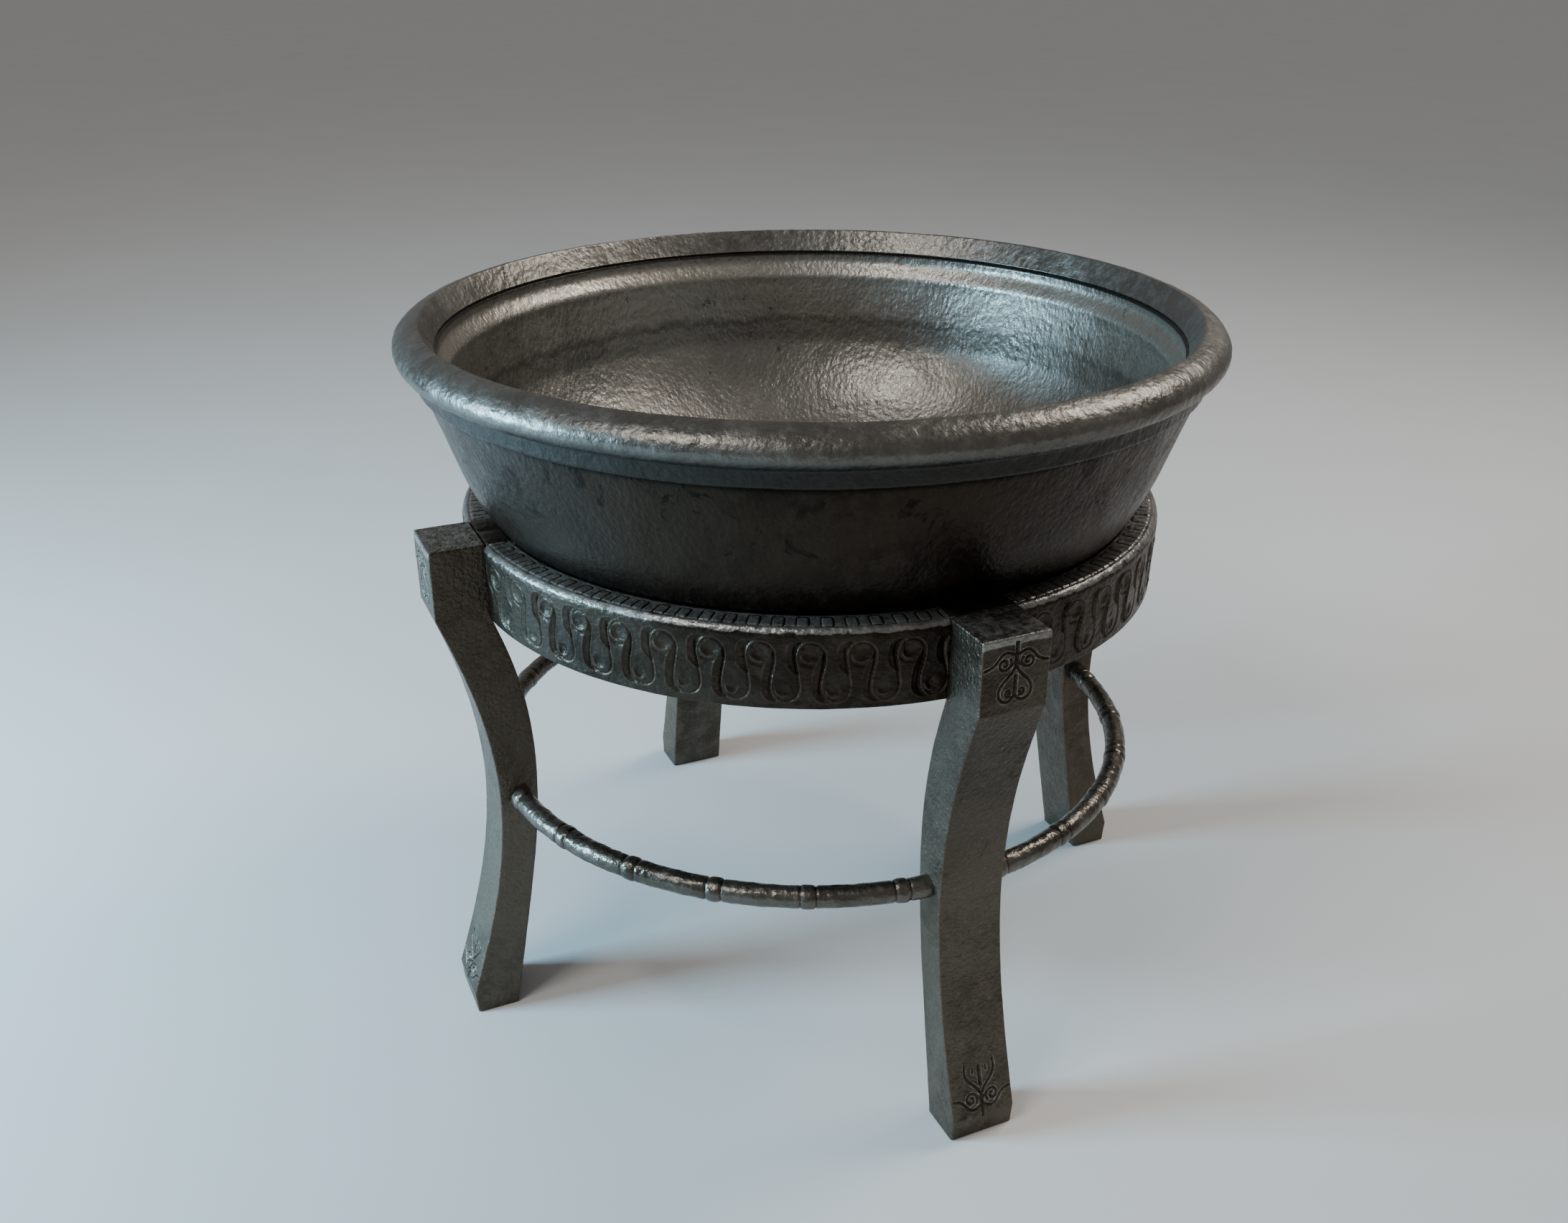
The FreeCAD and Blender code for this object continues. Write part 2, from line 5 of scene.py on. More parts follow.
import bpy
import numpy as np
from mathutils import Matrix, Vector


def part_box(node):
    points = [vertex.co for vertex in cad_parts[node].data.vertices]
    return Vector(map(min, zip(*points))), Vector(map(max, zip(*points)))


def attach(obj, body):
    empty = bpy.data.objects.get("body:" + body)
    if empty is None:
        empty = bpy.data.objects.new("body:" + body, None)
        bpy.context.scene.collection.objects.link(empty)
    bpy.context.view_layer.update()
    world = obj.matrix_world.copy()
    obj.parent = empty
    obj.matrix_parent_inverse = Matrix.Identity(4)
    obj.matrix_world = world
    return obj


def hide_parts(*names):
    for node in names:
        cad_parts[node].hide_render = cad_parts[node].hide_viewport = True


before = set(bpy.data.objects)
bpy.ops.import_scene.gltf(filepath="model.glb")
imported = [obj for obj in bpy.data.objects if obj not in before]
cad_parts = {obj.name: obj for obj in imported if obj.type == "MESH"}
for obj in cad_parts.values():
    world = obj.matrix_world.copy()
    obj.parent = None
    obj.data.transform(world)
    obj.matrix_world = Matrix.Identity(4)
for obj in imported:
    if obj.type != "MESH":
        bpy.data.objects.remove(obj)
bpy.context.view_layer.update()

MM = 0.001
TAU = 2 * math.pi

# ---- sizes read from the frame
ring_low, ring_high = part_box("stand_ring")
bowl_low, bowl_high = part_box("fire_bowl")
rim_low, rim_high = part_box("rim_hoop")
_, pot_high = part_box("air_pot")
RING_RADIUS = ring_high.x
RING_TOP = ring_high.z
RING_FOOT = ring_low.z
LIP_RADIUS = bowl_high.x
LIP_TOP = bowl_high.z
BOWL_FOOT = bowl_low.z
RIM_RADIUS = rim_high.x
SKIRT_FOOT = rim_low.z
FLANGE_RADIUS = pot_high.x

# ---- sizes shared with the design
RING_TAPER = 1.7 * MM
RING_BEVEL = 4.5 * MM
RING_WEB = 21 * MM
RING_FLANGE = 16 * MM
SEAT_DEPTH = 10 * MM
SEAT_TOP_INSET = 23.6 * MM
SEAT_FOOT_INSET = 31.1 * MM
HOUSING_DEPTH = 5 * MM
LEG_WIDTH = 56.4 * MM
LEG_ANGLES = {"front_right": -45, "back_right": 45, "back_left": 135, "front_left": 225}
SIDE_ANGLES = {"right": 0, "back": 90, "left": 180, "front": 270}
BAR_HEIGHT = 214 * MM
BAR_CENTRE_RADIUS = RING_RADIUS - 13.7 * MM
BAR_RADIUS = 9.8 * MM
COLLAR_LENGTH = 10 * MM
COLLAR_PITCH = math.radians(14.6)
BOWL_WALL = 9 * MM
LIP_THICKNESS = 14.6 * MM
LEDGE_WIDTH = 8.6 * MM
LEDGE_DROP = 26 * MM
WALL_TILT = math.radians(19)
BOWL_ARC = 185 * MM
FLOOR_THICKNESS = 14 * MM
BLAST_RADIUS = 40 * MM
RECESS_RADIUS = 61.8 * MM
RECESS_DEPTH = 6 * MM
BOLT_RADIUS = (RECESS_RADIUS + FLANGE_RADIUS) / 2
BOLT_HEAD_RADIUS = 7.5 * MM
LIP_CLEARANCE = 0.15 * MM
SKIRT_THICKNESS = 5 * MM
RIM_LONG = 21.5 * MM
RIM_SHORT = 15.5 * MM
RIM_TILT = math.radians(14)
RIM_RISE = 29.5 * MM
CREST_INSET = 23 * MM


# ---- numbers on whole arrays
def ease(low, high, value):
    """Smooth step: 0 below low, 1 above high, 3t squared less 2t cubed between."""
    t = np.clip((value - low) / (high - low), 0, 1)
    return t * t * (3 - 2 * t)


def lattice(cell, seed):
    """One repeatable number from -1 to 1 for each whole-number cell, mixed from its three coordinates."""
    mixed = cell[..., 0] * 73856093 ^ cell[..., 1] * 19349663 ^ cell[..., 2] * 83492791 ^ seed * 2654435761
    mixed = (mixed ^ (mixed >> 13)) * 1274126177 & 0xFFFFFFFF
    mixed = (mixed ^ (mixed >> 16)) * 668265263 & 0xFFFFFFFF
    return (mixed & 0xFFFFFF) / 0x7FFFFF - 1.0


def lumps(points, size, seed):
    """Smooth noise from -1 to 1: lattice numbers at the corners of cells, blended by the smooth step."""
    place = points / size
    cell = np.floor(place).astype(np.int64)
    share = place - cell
    share = share * share * (3 - 2 * share)
    total = np.zeros(points.shape[:-1])
    for corner in np.ndindex(2, 2, 2):
        weight = np.prod(np.where(np.array(corner) == 1, share, 1 - share), axis=-1)
        total += weight * lattice(cell + np.array(corner), seed)
    return total


def dents(points, size, seed):
    """Hammer marks: squared distance to the nearest of one scattered point per cell, as round cups."""
    place = points / size
    cell = np.floor(place).astype(np.int64)
    nearest = np.full(points.shape[:-1], 9.0)
    for step in np.ndindex(3, 3, 3):
        other = cell + np.array(step) - 1
        centre = other + 0.5 + 0.42 * np.stack([lattice(other, seed + axis) for axis in range(3)], axis=-1)
        nearest = np.minimum(nearest, np.sum((place - centre) ** 2, axis=-1))
    return np.clip(nearest, 0, 1)


def smooth_curve(stations, values, wanted):
    """Natural cubic spline through (stations, values), read at the wanted stations.

    The second derivatives solve the usual three-term equations and are zero at both ends.
    """
    x = np.asarray(stations, float)
    y = np.asarray(values, float)
    gap = np.diff(x)
    count = len(x)
    matrix = np.eye(count)
    right = np.zeros(count)
    inner = np.arange(1, count - 1)
    matrix[inner, inner - 1] = gap[:-1]
    matrix[inner, inner] = 2 * (gap[:-1] + gap[1:])
    matrix[inner, inner + 1] = gap[1:]
    right[inner] = 6 * (np.diff(y[1:]) / gap[1:] - np.diff(y[:-1]) / gap[:-1])
    bend = np.linalg.solve(matrix, right)
    at = np.clip(np.searchsorted(x, wanted) - 1, 0, count - 2)
    width = gap[at]
    before = (x[at + 1] - wanted) / width
    after = (wanted - x[at]) / width
    curved = ((before ** 3 - before) * bend[at] + (after ** 3 - after) * bend[at + 1]) * width ** 2 / 6
    return before * y[at] + after * y[at + 1] + curved


def run(start, end, count):
    """Evenly spaced points from start up to, and not including, end."""
    share = np.arange(count)[:, None] / count
    return np.asarray(start) * (1 - share) + np.asarray(end) * share


def path(*stops):
    """Straight runs joined end to end: each stop is a place and the number of points up to the next stop."""
    return np.concatenate([run(start, end, count) for (start, count), (end, _) in zip(stops, stops[1:])])


def sweep(centre, radius, start, end, count):
    """Points on a circle round centre from angle start up to, and not including, angle end, in degrees."""
    angle = np.radians(start + (end - start) * np.arange(count) / count)
    return np.asarray(centre) + radius * np.stack([np.cos(angle), np.sin(angle)], axis=-1)


def respaced(points, count):
    """The same line read at evenly spaced lengths along it, both ends included."""
    length = np.concatenate([[0], np.cumsum(np.linalg.norm(np.diff(points, axis=0), axis=1))])
    wanted = np.linspace(0, length[-1], count)
    return np.stack([np.interp(wanted, length, points[:, axis]) for axis in range(2)], axis=-1)


def outward_normals(profile):
    """Outward directions of a closed (radius, height) line: its tangent turned a quarter outwards."""
    tangent = np.roll(profile, -1, axis=0) - np.roll(profile, 1, axis=0)
    normal = np.stack([tangent[:, 1], -tangent[:, 0]], axis=-1)
    normal /= np.maximum(np.linalg.norm(normal, axis=-1, keepdims=True), 1e-12)
    ahead = np.roll(profile, -1, axis=0)
    area = np.sum(profile[:, 0] * ahead[:, 1] - ahead[:, 0] * profile[:, 1])
    return normal * np.sign(area)


def spun(profile, angles):
    """Points (angle, station, xyz) of a (radius, height) line turned to each angle about the upright."""
    radius, height = np.broadcast_to(profile.T[:, None], (2, len(angles), len(profile)))
    turn = angles[:, None]
    return np.stack([radius * np.cos(turn), radius * np.sin(turn), height], axis=-1)


def turned(points, degrees):
    """The points turned about the upright axis."""
    angle = math.radians(degrees)
    x = points[..., 0] * math.cos(angle) - points[..., 1] * math.sin(angle)
    y = points[..., 0] * math.sin(angle) + points[..., 1] * math.cos(angle)
    return np.stack([x, y, points[..., 2]], axis=-1)


# ---- meshes
def skin(name, points, wrap_rows, marks):
    """Closed mesh from a grid of points (row, column, xyz) whose columns close on themselves.

    Face (i, j) joins the points (i, j), (i, j+1), (i+1, j+1) and (i+1, j). The rows close too when
    wrap_rows is set, and otherwise the first and last rows are filled. marks holds a number per point.
    """
    rows, columns = points.shape[:2]
    index = np.arange(rows * columns).reshape(rows, columns)
    this = index if wrap_rows else index[:-1]
    after = np.roll(index, -1, axis=0) if wrap_rows else index[1:]
    quads = np.stack([this, np.roll(this, -1, axis=1), np.roll(after, -1, axis=1), after], axis=-1)
    corners = quads.ravel()
    sizes = np.full(quads.size // 4, 4)
    if not wrap_rows:
        corners = np.concatenate([corners, index[0][::-1], index[-1]])
        sizes = np.concatenate([sizes, [columns, columns]])
    starts = np.concatenate([[0], np.cumsum(sizes)[:-1]])
    mesh = bpy.data.meshes.new(name)
    mesh.vertices.add(rows * columns)
    mesh.vertices.foreach_set("co", points.astype(np.float32).ravel())
    mesh.loops.add(len(corners))
    mesh.loops.foreach_set("vertex_index", corners.astype(np.int32))
    mesh.polygons.add(len(sizes))
    mesh.polygons.foreach_set("loop_start", starts.astype(np.int32))
    mesh.update(calc_edges=True)
    for key, values in marks.items():
        values = np.broadcast_to(values, (rows, columns)).astype(np.float32).ravel()
        mesh.attributes.new(key, "FLOAT", "POINT").data.foreach_set("value", values)
    return mesh


def volume(mesh):
    """Signed volume: a sixth of the sum of a . (b x c) over the triangles with corners a, b and c."""
    mesh.calc_loop_triangles()
    corners = np.zeros(len(mesh.loop_triangles) * 3, np.int32)
    mesh.loop_triangles.foreach_get("vertices", corners)
    places = np.zeros(len(mesh.vertices) * 3, np.float32)
    mesh.vertices.foreach_get("co", places)
    a, b, c = np.moveaxis(places.reshape(-1, 3).astype(float)[corners.reshape(-1, 3)], 1, 0)
    return np.sum(a * np.cross(b, c)) / 6


def piece(name, points, body, material, replaced, wrap_rows, marks):
    """Object made from a grid of points, facing outwards, riding on a body and standing for a design node."""
    mesh = skin(name, points, wrap_rows, marks)
    if volume(mesh) < 0:
        mesh.flip_normals()
    mesh.shade_smooth()
    mesh.materials.append(material)
    thing = bpy.data.objects.new(name, mesh)
    bpy.context.scene.collection.objects.link(thing)
    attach(thing, body)
    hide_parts(replaced)


# ---- materials
class Paint:
    """Builds one material's nodes: each method adds a node and returns the output that carries its result."""

    def __init__(self, name):
        self.material = bpy.data.materials.new(name)
        self.material.use_nodes = True
        self.nodes = self.material.node_tree.nodes
        self.links = self.material.node_tree.links
        self.shader = self.nodes["Principled BSDF"]
        self.place = self.nodes.new("ShaderNodeTexCoord").outputs["Object"]

    def feed(self, socket, value):
        """Puts a number, or another node's output, into a socket."""
        if isinstance(value, bpy.types.NodeSocket):
            self.links.new(value, socket)
        else:
            socket.default_value = value

    def add(self, kind, result, inputs, **settings):
        node = self.nodes.new("ShaderNode" + kind)
        for key, value in settings.items():
            setattr(node, key, value)
        for key, value in inputs.items():
            self.feed(node.inputs[key], value)
        return node.outputs[result]

    def stretched(self, scale):
        return self.add("Mapping", "Vector", {"Vector": self.place, "Scale": scale})

    def noise(self, scale, detail=4.0, roughness=0.55, warp=0.0, place=None):
        return self.add("TexNoise", "Fac", {"Vector": place or self.place, "Scale": scale, "Detail": detail,
                                            "Roughness": roughness, "Distortion": warp})

    def cells(self, scale, place):
        return self.add("TexVoronoi", "Distance", {"Vector": place, "Scale": scale, "Smoothness": 0.6},
                        feature="SMOOTH_F1")

    def mark(self, name):
        return self.add("Attribute", "Fac", {}, attribute_name=name)

    def fit(self, value, low, high, to_low=0.0, to_high=1.0):
        return self.add("MapRange", "Result", {"Value": value, "From Min": low, "From Max": high,
                                               "To Min": to_low, "To Max": to_high},
                        interpolation_type="SMOOTHSTEP")

    def times(self, first, second):
        return self.add("Math", "Value", {0: first, 1: second}, operation="MULTIPLY", use_clamp=True)

    def plus(self, first, second):
        return self.add("Math", "Value", {0: first, 1: second}, operation="ADD", use_clamp=True)

    def minus(self, first, second):
        return self.add("Math", "Value", {0: first, 1: second}, operation="SUBTRACT")

    def blend(self, share, first, second):
        return self.add("Mix", "Result", {"Factor": share, "A": first, "B": second}, data_type="RGBA")

    def bump(self, height, distance, strength, under=None):
        inputs = {"Height": height, "Distance": distance, "Strength": strength}
        if under is not None:
            inputs["Normal"] = under
        return self.add("Bump", "Normal", inputs)


def iron(name, dark, pale, gloss, grain, stretch=(1, 1, 1), stains=0.6, peel=1.0, sparkle=0.5, metal=0.86,
         inner=None):
    """Old dark iron: broad mottling, fine specks, ragged stains, rust along sharp edges, rust and painted
    shade in what is sunk, and painted shade where marked.

    Where it is rubbed the bare metal shows through in ragged patches, and the same pale tone is painted
    where a highlight is marked. gloss is the least roughness, grain the size in millimetres of the finest
    marks, peel the depth of its hammered skin, sparkle how far its high specks are polished, and metal its
    share of bare metal. inner holds the tones of a painted reflection for points marked as inside, above
    and below a ragged line.
    """
    paint = Paint(name)
    place = paint.stretched(stretch)
    broad = paint.noise(8, detail=5, roughness=0.6, warp=0.5)
    mottle = paint.noise(70, detail=6, roughness=0.7, place=place)
    speck = paint.noise(420, detail=4, roughness=0.7, place=place)
    black = tuple(0.16 * c for c in dark[:3]) + (1,)
    colour = paint.blend(paint.fit(broad, 0.36, 0.66, 0.1, 0.9), dark, pale)
    colour = paint.blend(paint.fit(mottle, 0.44, 0.64, 0, 0.7), colour, pale)
    blot = paint.noise(26, detail=8, roughness=0.72, warp=0.6)
    stain = paint.times(paint.fit(blot, 0.57, 0.62), paint.fit(broad, 0.42, 0.56, 0, stains))
    if inner is not None:
        colour, stain = bowl_inside(paint, colour, stain, broad, mottle, inner, black)
    colour = paint.blend(paint.fit(speck, 0.52, 0.76, 0, 0.3), colour, black)
    colour = paint.blend(stain, colour, black)
    rust_and_painted_shade = paint.mark("rust_and_painted_shade")
    rusty = paint.fit(paint.noise(85, detail=6, roughness=0.7), 0.42, 0.66)
    # Rust in what is sunk, then painted shade: the deepest hollows darkened towards black.
    colour = paint.blend(paint.times(rusty, paint.fit(rust_and_painted_shade, 0.1, 0.7, 0.02, 0.4)), colour, RUST)
    colour = paint.blend(paint.fit(rust_and_painted_shade, 0.4, 1.0, 0, 0.75), colour, black)
    edge = paint.times(paint.mark("edge"), paint.fit(mottle, 0.3, 0.6, 0.45, 1.0))
    colour = paint.blend(edge, colour, EDGE_RUST)
    # Rubbed bare metal and painted highlights share one pale tone.
    ragged = paint.times(paint.noise(150, detail=5, roughness=0.65), 0.7)
    rub_and_highlight = paint.fit(paint.plus(ragged, paint.times(paint.mark("wear_and_highlight"), 0.65)), 0.6, 0.76)
    rub_and_highlight = paint.times(rub_and_highlight, paint.fit(mottle, 0.3, 0.62, 0.5, 1.0))
    colour = paint.blend(rub_and_highlight, colour, WEAR_AND_HIGHLIGHT)
    # Painted shade: marked places darkened towards black.
    colour = paint.blend(paint.fit(paint.mark("painted_shade"), 0, 1, 0, 0.93), colour, black)
    paint.feed(paint.shader.inputs["Base Color"], colour)
    paint.shader.inputs["Metallic"].default_value = metal
    paint.shader.inputs["Specular IOR Level"].default_value = 0.25
    rough = paint.plus(paint.fit(mottle, 0.3, 0.7, gloss, gloss + 0.12), paint.fit(speck, 0.4, 0.7, 0, 0.05))
    rough = paint.plus(rough, paint.fit(broad, 0.4, 0.6, 0, 0.08))
    rough = paint.plus(rough, paint.times(stain, 0.2))
    shine = paint.fit(paint.noise(330, detail=3, roughness=0.6), 0.5, 0.72, 0, 0.3 * sparkle)
    rough = paint.minus(rough, paint.plus(shine, paint.times(rub_and_highlight, 0.06)))
    paint.feed(paint.shader.inputs["Roughness"], rough)
    normal = paint.bump(paint.noise(30, detail=2), 0.006, 0.2 * peel)
    normal = paint.bump(paint.cells(1000 / (1.9 * grain), place), 0.0018, 0.32 * peel, normal)
    finest = paint.noise(1000 / grain, detail=2, roughness=0.5, place=place)
    paint.feed(paint.shader.inputs["Normal"], paint.bump(finest, 0.0014, 0.5 * peel, normal))
    return paint.material


def bowl_inside(paint, colour, stain, broad, mottle, tones, black):
    """Inside of the bowl as a painted reflection: one tone on the wall, another on the smooth bottom, and a
    ragged painted dark band where they meet.
    """
    wall, bottom = tones
    inside = paint.mark("inner")
    # Painted reflection: the wall's tone above a ragged line and the bottom's tone below it.
    ragged = paint.times(paint.noise(48, detail=9, roughness=0.68), 0.5)
    level = paint.plus(paint.times(paint.mark("painted_reflection"), 0.5), ragged)
    low = paint.fit(level, 0.48, 0.53)
    band = paint.times(paint.fit(level, 0.26, 0.46), paint.fit(level, 0.48, 0.53, 1, 0))
    tone = paint.blend(low, wall, bottom)
    tone = paint.blend(paint.fit(mottle, 0.36, 0.66, 0, 0.35), tone, bottom)
    tone = paint.blend(paint.fit(broad, 0.4, 0.62, 0, 0.3), tone, wall)
    # Painted shade: a ragged dark band just above the line.
    tone = paint.blend(paint.times(band, 0.42), tone, black)
    fine_stain = paint.times(paint.fit(paint.noise(42, detail=9, roughness=0.75), 0.62, 0.65), 0.6)
    stain = paint.blend(inside, stain, fine_stain)
    return paint.blend(inside, colour, tone), stain


RUST = (0.085, 0.048, 0.026, 1)
EDGE_RUST = (0.11, 0.08, 0.056, 1)
# Pale tone of rubbed bare metal, also painted as highlights.
WEAR_AND_HIGHLIGHT = (0.25, 0.243, 0.228, 1)
BOWL_IRON = iron("bowl_iron", (0.0105, 0.0072, 0.0048, 1), (0.031, 0.0228, 0.0156, 1), 0.3, 2.6, (1, 1, 0.7),
                 peel=0.75, inner=((0.29, 0.272, 0.243, 1), (0.21, 0.202, 0.184, 1)))
RIM_IRON = iron("rim_iron", (0.115, 0.108, 0.097, 1), (0.18, 0.172, 0.157, 1), 0.28, 3.2, stains=0.12,
                peel=0.75)
RING_IRON = iron("ring_iron", (0.0165, 0.0126, 0.0088, 1), (0.044, 0.0365, 0.0275, 1), 0.29, 2.4,
                 (0.7, 0.7, 1), 0.3, peel=0.9, metal=0.78)
LEG_IRON = iron("leg_iron", (0.043, 0.0325, 0.0225, 1), (0.125, 0.105, 0.081, 1), 0.32, 2.0, stains=0.3,
                peel=1.15, sparkle=0.8, metal=0.78)
BAR_IRON = iron("bar_iron", (0.06, 0.053, 0.043, 1), (0.16, 0.146, 0.126, 1), 0.2, 3.4, stains=0.25, peel=0.9)
POT_IRON = iron("pot_iron", (0.026, 0.023, 0.021, 1), (0.06, 0.055, 0.049, 1), 0.46, 2.2)
GRATE_IRON = iron("grate_iron", (0.034, 0.026, 0.021, 1), (0.085, 0.066, 0.052, 1), 0.46, 2.6)
GATE_STEEL = iron("gate_steel", (0.055, 0.05, 0.046, 1), (0.12, 0.113, 0.102, 1), 0.32, 4.5, peel=0.7)
SCREW_STEEL = iron("screw_steel", (0.07, 0.066, 0.06, 1), (0.17, 0.162, 0.15, 1), 0.3, 1.6, peel=0.5)


# ---- bowl
def bowl_profile():
    """Closed (radius, height) line of the bowl: flat bottom, round turn, coned wall, lip and down inside.

    The wall's outside passes through the lip's foot at the wall's tilt, and the round turn touches it.
    Inside, a smooth step under the lip leads in to the wall.
    """
    arc_height = BOWL_FOOT + BOWL_ARC
    offset = LIP_RADIUS * math.cos(WALL_TILT) - SKIRT_FOOT * math.sin(WALL_TILT)
    arc_radius = (offset - BOWL_ARC + arc_height * math.sin(WALL_TILT)) / math.cos(WALL_TILT)
    centre = np.array([arc_radius, arc_height])
    floor = BOWL_FOOT + FLOOR_THICKNESS
    inner_arc = BOWL_ARC - BOWL_WALL
    floor_edge = arc_radius + math.sqrt(inner_arc ** 2 - (arc_height - floor) ** 2)
    floor_angle = math.degrees(math.atan2(floor - arc_height, floor_edge - arc_radius))
    wall_angle = -math.degrees(WALL_TILT)
    tangent = np.array([math.cos(WALL_TILT), -math.sin(WALL_TILT)])
    lip_inside = LIP_RADIUS - LIP_THICKNESS
    recess = floor - RECESS_DEPTH
    edge = 1.2 * MM
    down = np.linspace(edge, LEDGE_DROP, 15)
    ledge = np.stack([lip_inside - LEDGE_WIDTH * ease(6 * MM, 24 * MM, down), LIP_TOP - down], axis=-1)
    return np.concatenate([
        run((BLAST_RADIUS + edge, BOWL_FOOT), (arc_radius, BOWL_FOOT), 10),
        sweep(centre, BOWL_ARC, -90, wall_angle, 36),
        path((centre + BOWL_ARC * tangent, 12), ((LIP_RADIUS, SKIRT_FOOT), 4), ((LIP_RADIUS, LIP_TOP), 2),
             ((lip_inside + edge, LIP_TOP), 2), (ledge[0], 0)),
        ledge[:-1],
        run(ledge[-1], centre + inner_arc * tangent, 12),
        sweep(centre, inner_arc, wall_angle, floor_angle, 34),
        path(((floor_edge, floor), 8), ((BOLT_RADIUS + 10 * MM, floor), 12),
             ((RECESS_RADIUS + edge, floor), 2), ((RECESS_RADIUS, floor - edge), 2),
             ((RECESS_RADIUS, recess), 3), ((BLAST_RADIUS + edge, recess), 1),
             ((BLAST_RADIUS, recess - edge), 3), ((BLAST_RADIUS, BOWL_FOOT + edge), 1),
             ((BLAST_RADIUS + edge, BOWL_FOOT), 0)),
    ])


# Height of the line for the painted reflection inside the bowl.
PAINTED_REFLECTION_LINE = 516 * MM
BOWL_COLUMNS = 600


def make_bowl():
    """The bowl's profile turned full circle. Each point moves along the profile's normal by broad lumps.

    The floor drops by half a millimetre under each bolt head, and the lumps fade out at the seat, at the
    lip and at every fitted edge. The inside is marked for a painted reflection that changes tone below one
    height. Painted shade is marked under the rim, above the ring and at the top of the lip's inside, and a
    painted highlight on the shoulder under the lip.
    """
    profile = bowl_profile()
    normals = outward_normals(profile)
    angles = np.arange(BOWL_COLUMNS) * TAU / BOWL_COLUMNS
    points = spun(profile, angles)
    direction = spun(normals, angles)
    radius = np.hypot(points[..., 0], points[..., 1])
    height = points[..., 2]
    free = ease(RECESS_RADIUS, RECESS_RADIUS + 30 * MM, radius) * ease(BOWL_FOOT, BOWL_FOOT + 12 * MM, height)
    inside = (normals[:, 0] < -0.05) | (normals[:, 1] > 0.3)
    free = free * np.where(inside, 1, ease(RING_TOP, RING_TOP + 14 * MM, height))
    free = free * (1 - ease(SKIRT_FOOT - 6 * MM, SKIRT_FOOT + 4 * MM, height))
    beaten = 0.5 * lumps(points, 34 * MM, 3) + 0.35 * lumps(points, 15 * MM, 5)
    points = points + direction * (beaten * free * 0.7 * MM)[..., None]
    floor = BOWL_FOOT + FLOOR_THICKNESS
    on_floor = (np.abs(height - floor) < 0.2 * MM) & (radius > RECESS_RADIUS + MM)
    for quarter in range(4):
        turn = math.radians(45 + 90 * quarter)
        gap = np.hypot(points[..., 0] - BOLT_RADIUS * math.cos(turn),
                       points[..., 1] - BOLT_RADIUS * math.sin(turn))
        under_head = 1 - ease(BOLT_HEAD_RADIUS, BOLT_HEAD_RADIUS + MM, gap)
        points[..., 2] -= np.where(on_floor, 0.5 * MM * under_head, 0)
    rust_and_painted_shade = np.where(inside, 0, 0.3 * (1 - ease(BOWL_FOOT, BOWL_FOOT + 60 * MM, height)))
    # Painted shade: outside just under the rim's skirt and just above the ring, and inside at the top of the
    # lip under the rim's foot.
    painted_shade = np.where(inside, 0, np.maximum(ease(SKIRT_FOOT - 7 * MM, SKIRT_FOOT - MM, height),
                                          0.9 * (1 - ease(RING_TOP - 4 * MM, RING_TOP + 26 * MM, height))))
    painted_shade = np.where(inside & (height > LIP_TOP - 4 * MM), ease(LIP_TOP - 4 * MM, LIP_TOP - MM, height), painted_shade)
    # Painted reflection: inside, how far below the line the bottom's tone is taken.
    painted_reflection = np.where(inside, np.clip((PAINTED_REFLECTION_LINE + 12 * MM - height) / (24 * MM), 0, 1), 0)
    # Painted highlight: a pale band on the inside shoulder under the lip.
    shoulder_highlight = 0.4 * ease(LIP_TOP - 21 * MM, LIP_TOP - 17 * MM, height)
    shoulder_highlight = shoulder_highlight * (1 - ease(LIP_TOP - 14 * MM, LIP_TOP - 11 * MM, height))
    wear_and_highlight = np.where(inside, shoulder_highlight, 0.2 * np.clip(beaten, 0, 1) * free)
    piece("cast_bowl", points, "bowl", BOWL_IRON, "fire_bowl", True,
          {"rust_and_painted_shade": rust_and_painted_shade, "painted_shade": painted_shade, "wear_and_highlight": wear_and_highlight, "inner": inside, "painted_reflection": painted_reflection})


# ---- rim
RIM_COLUMNS = 1080


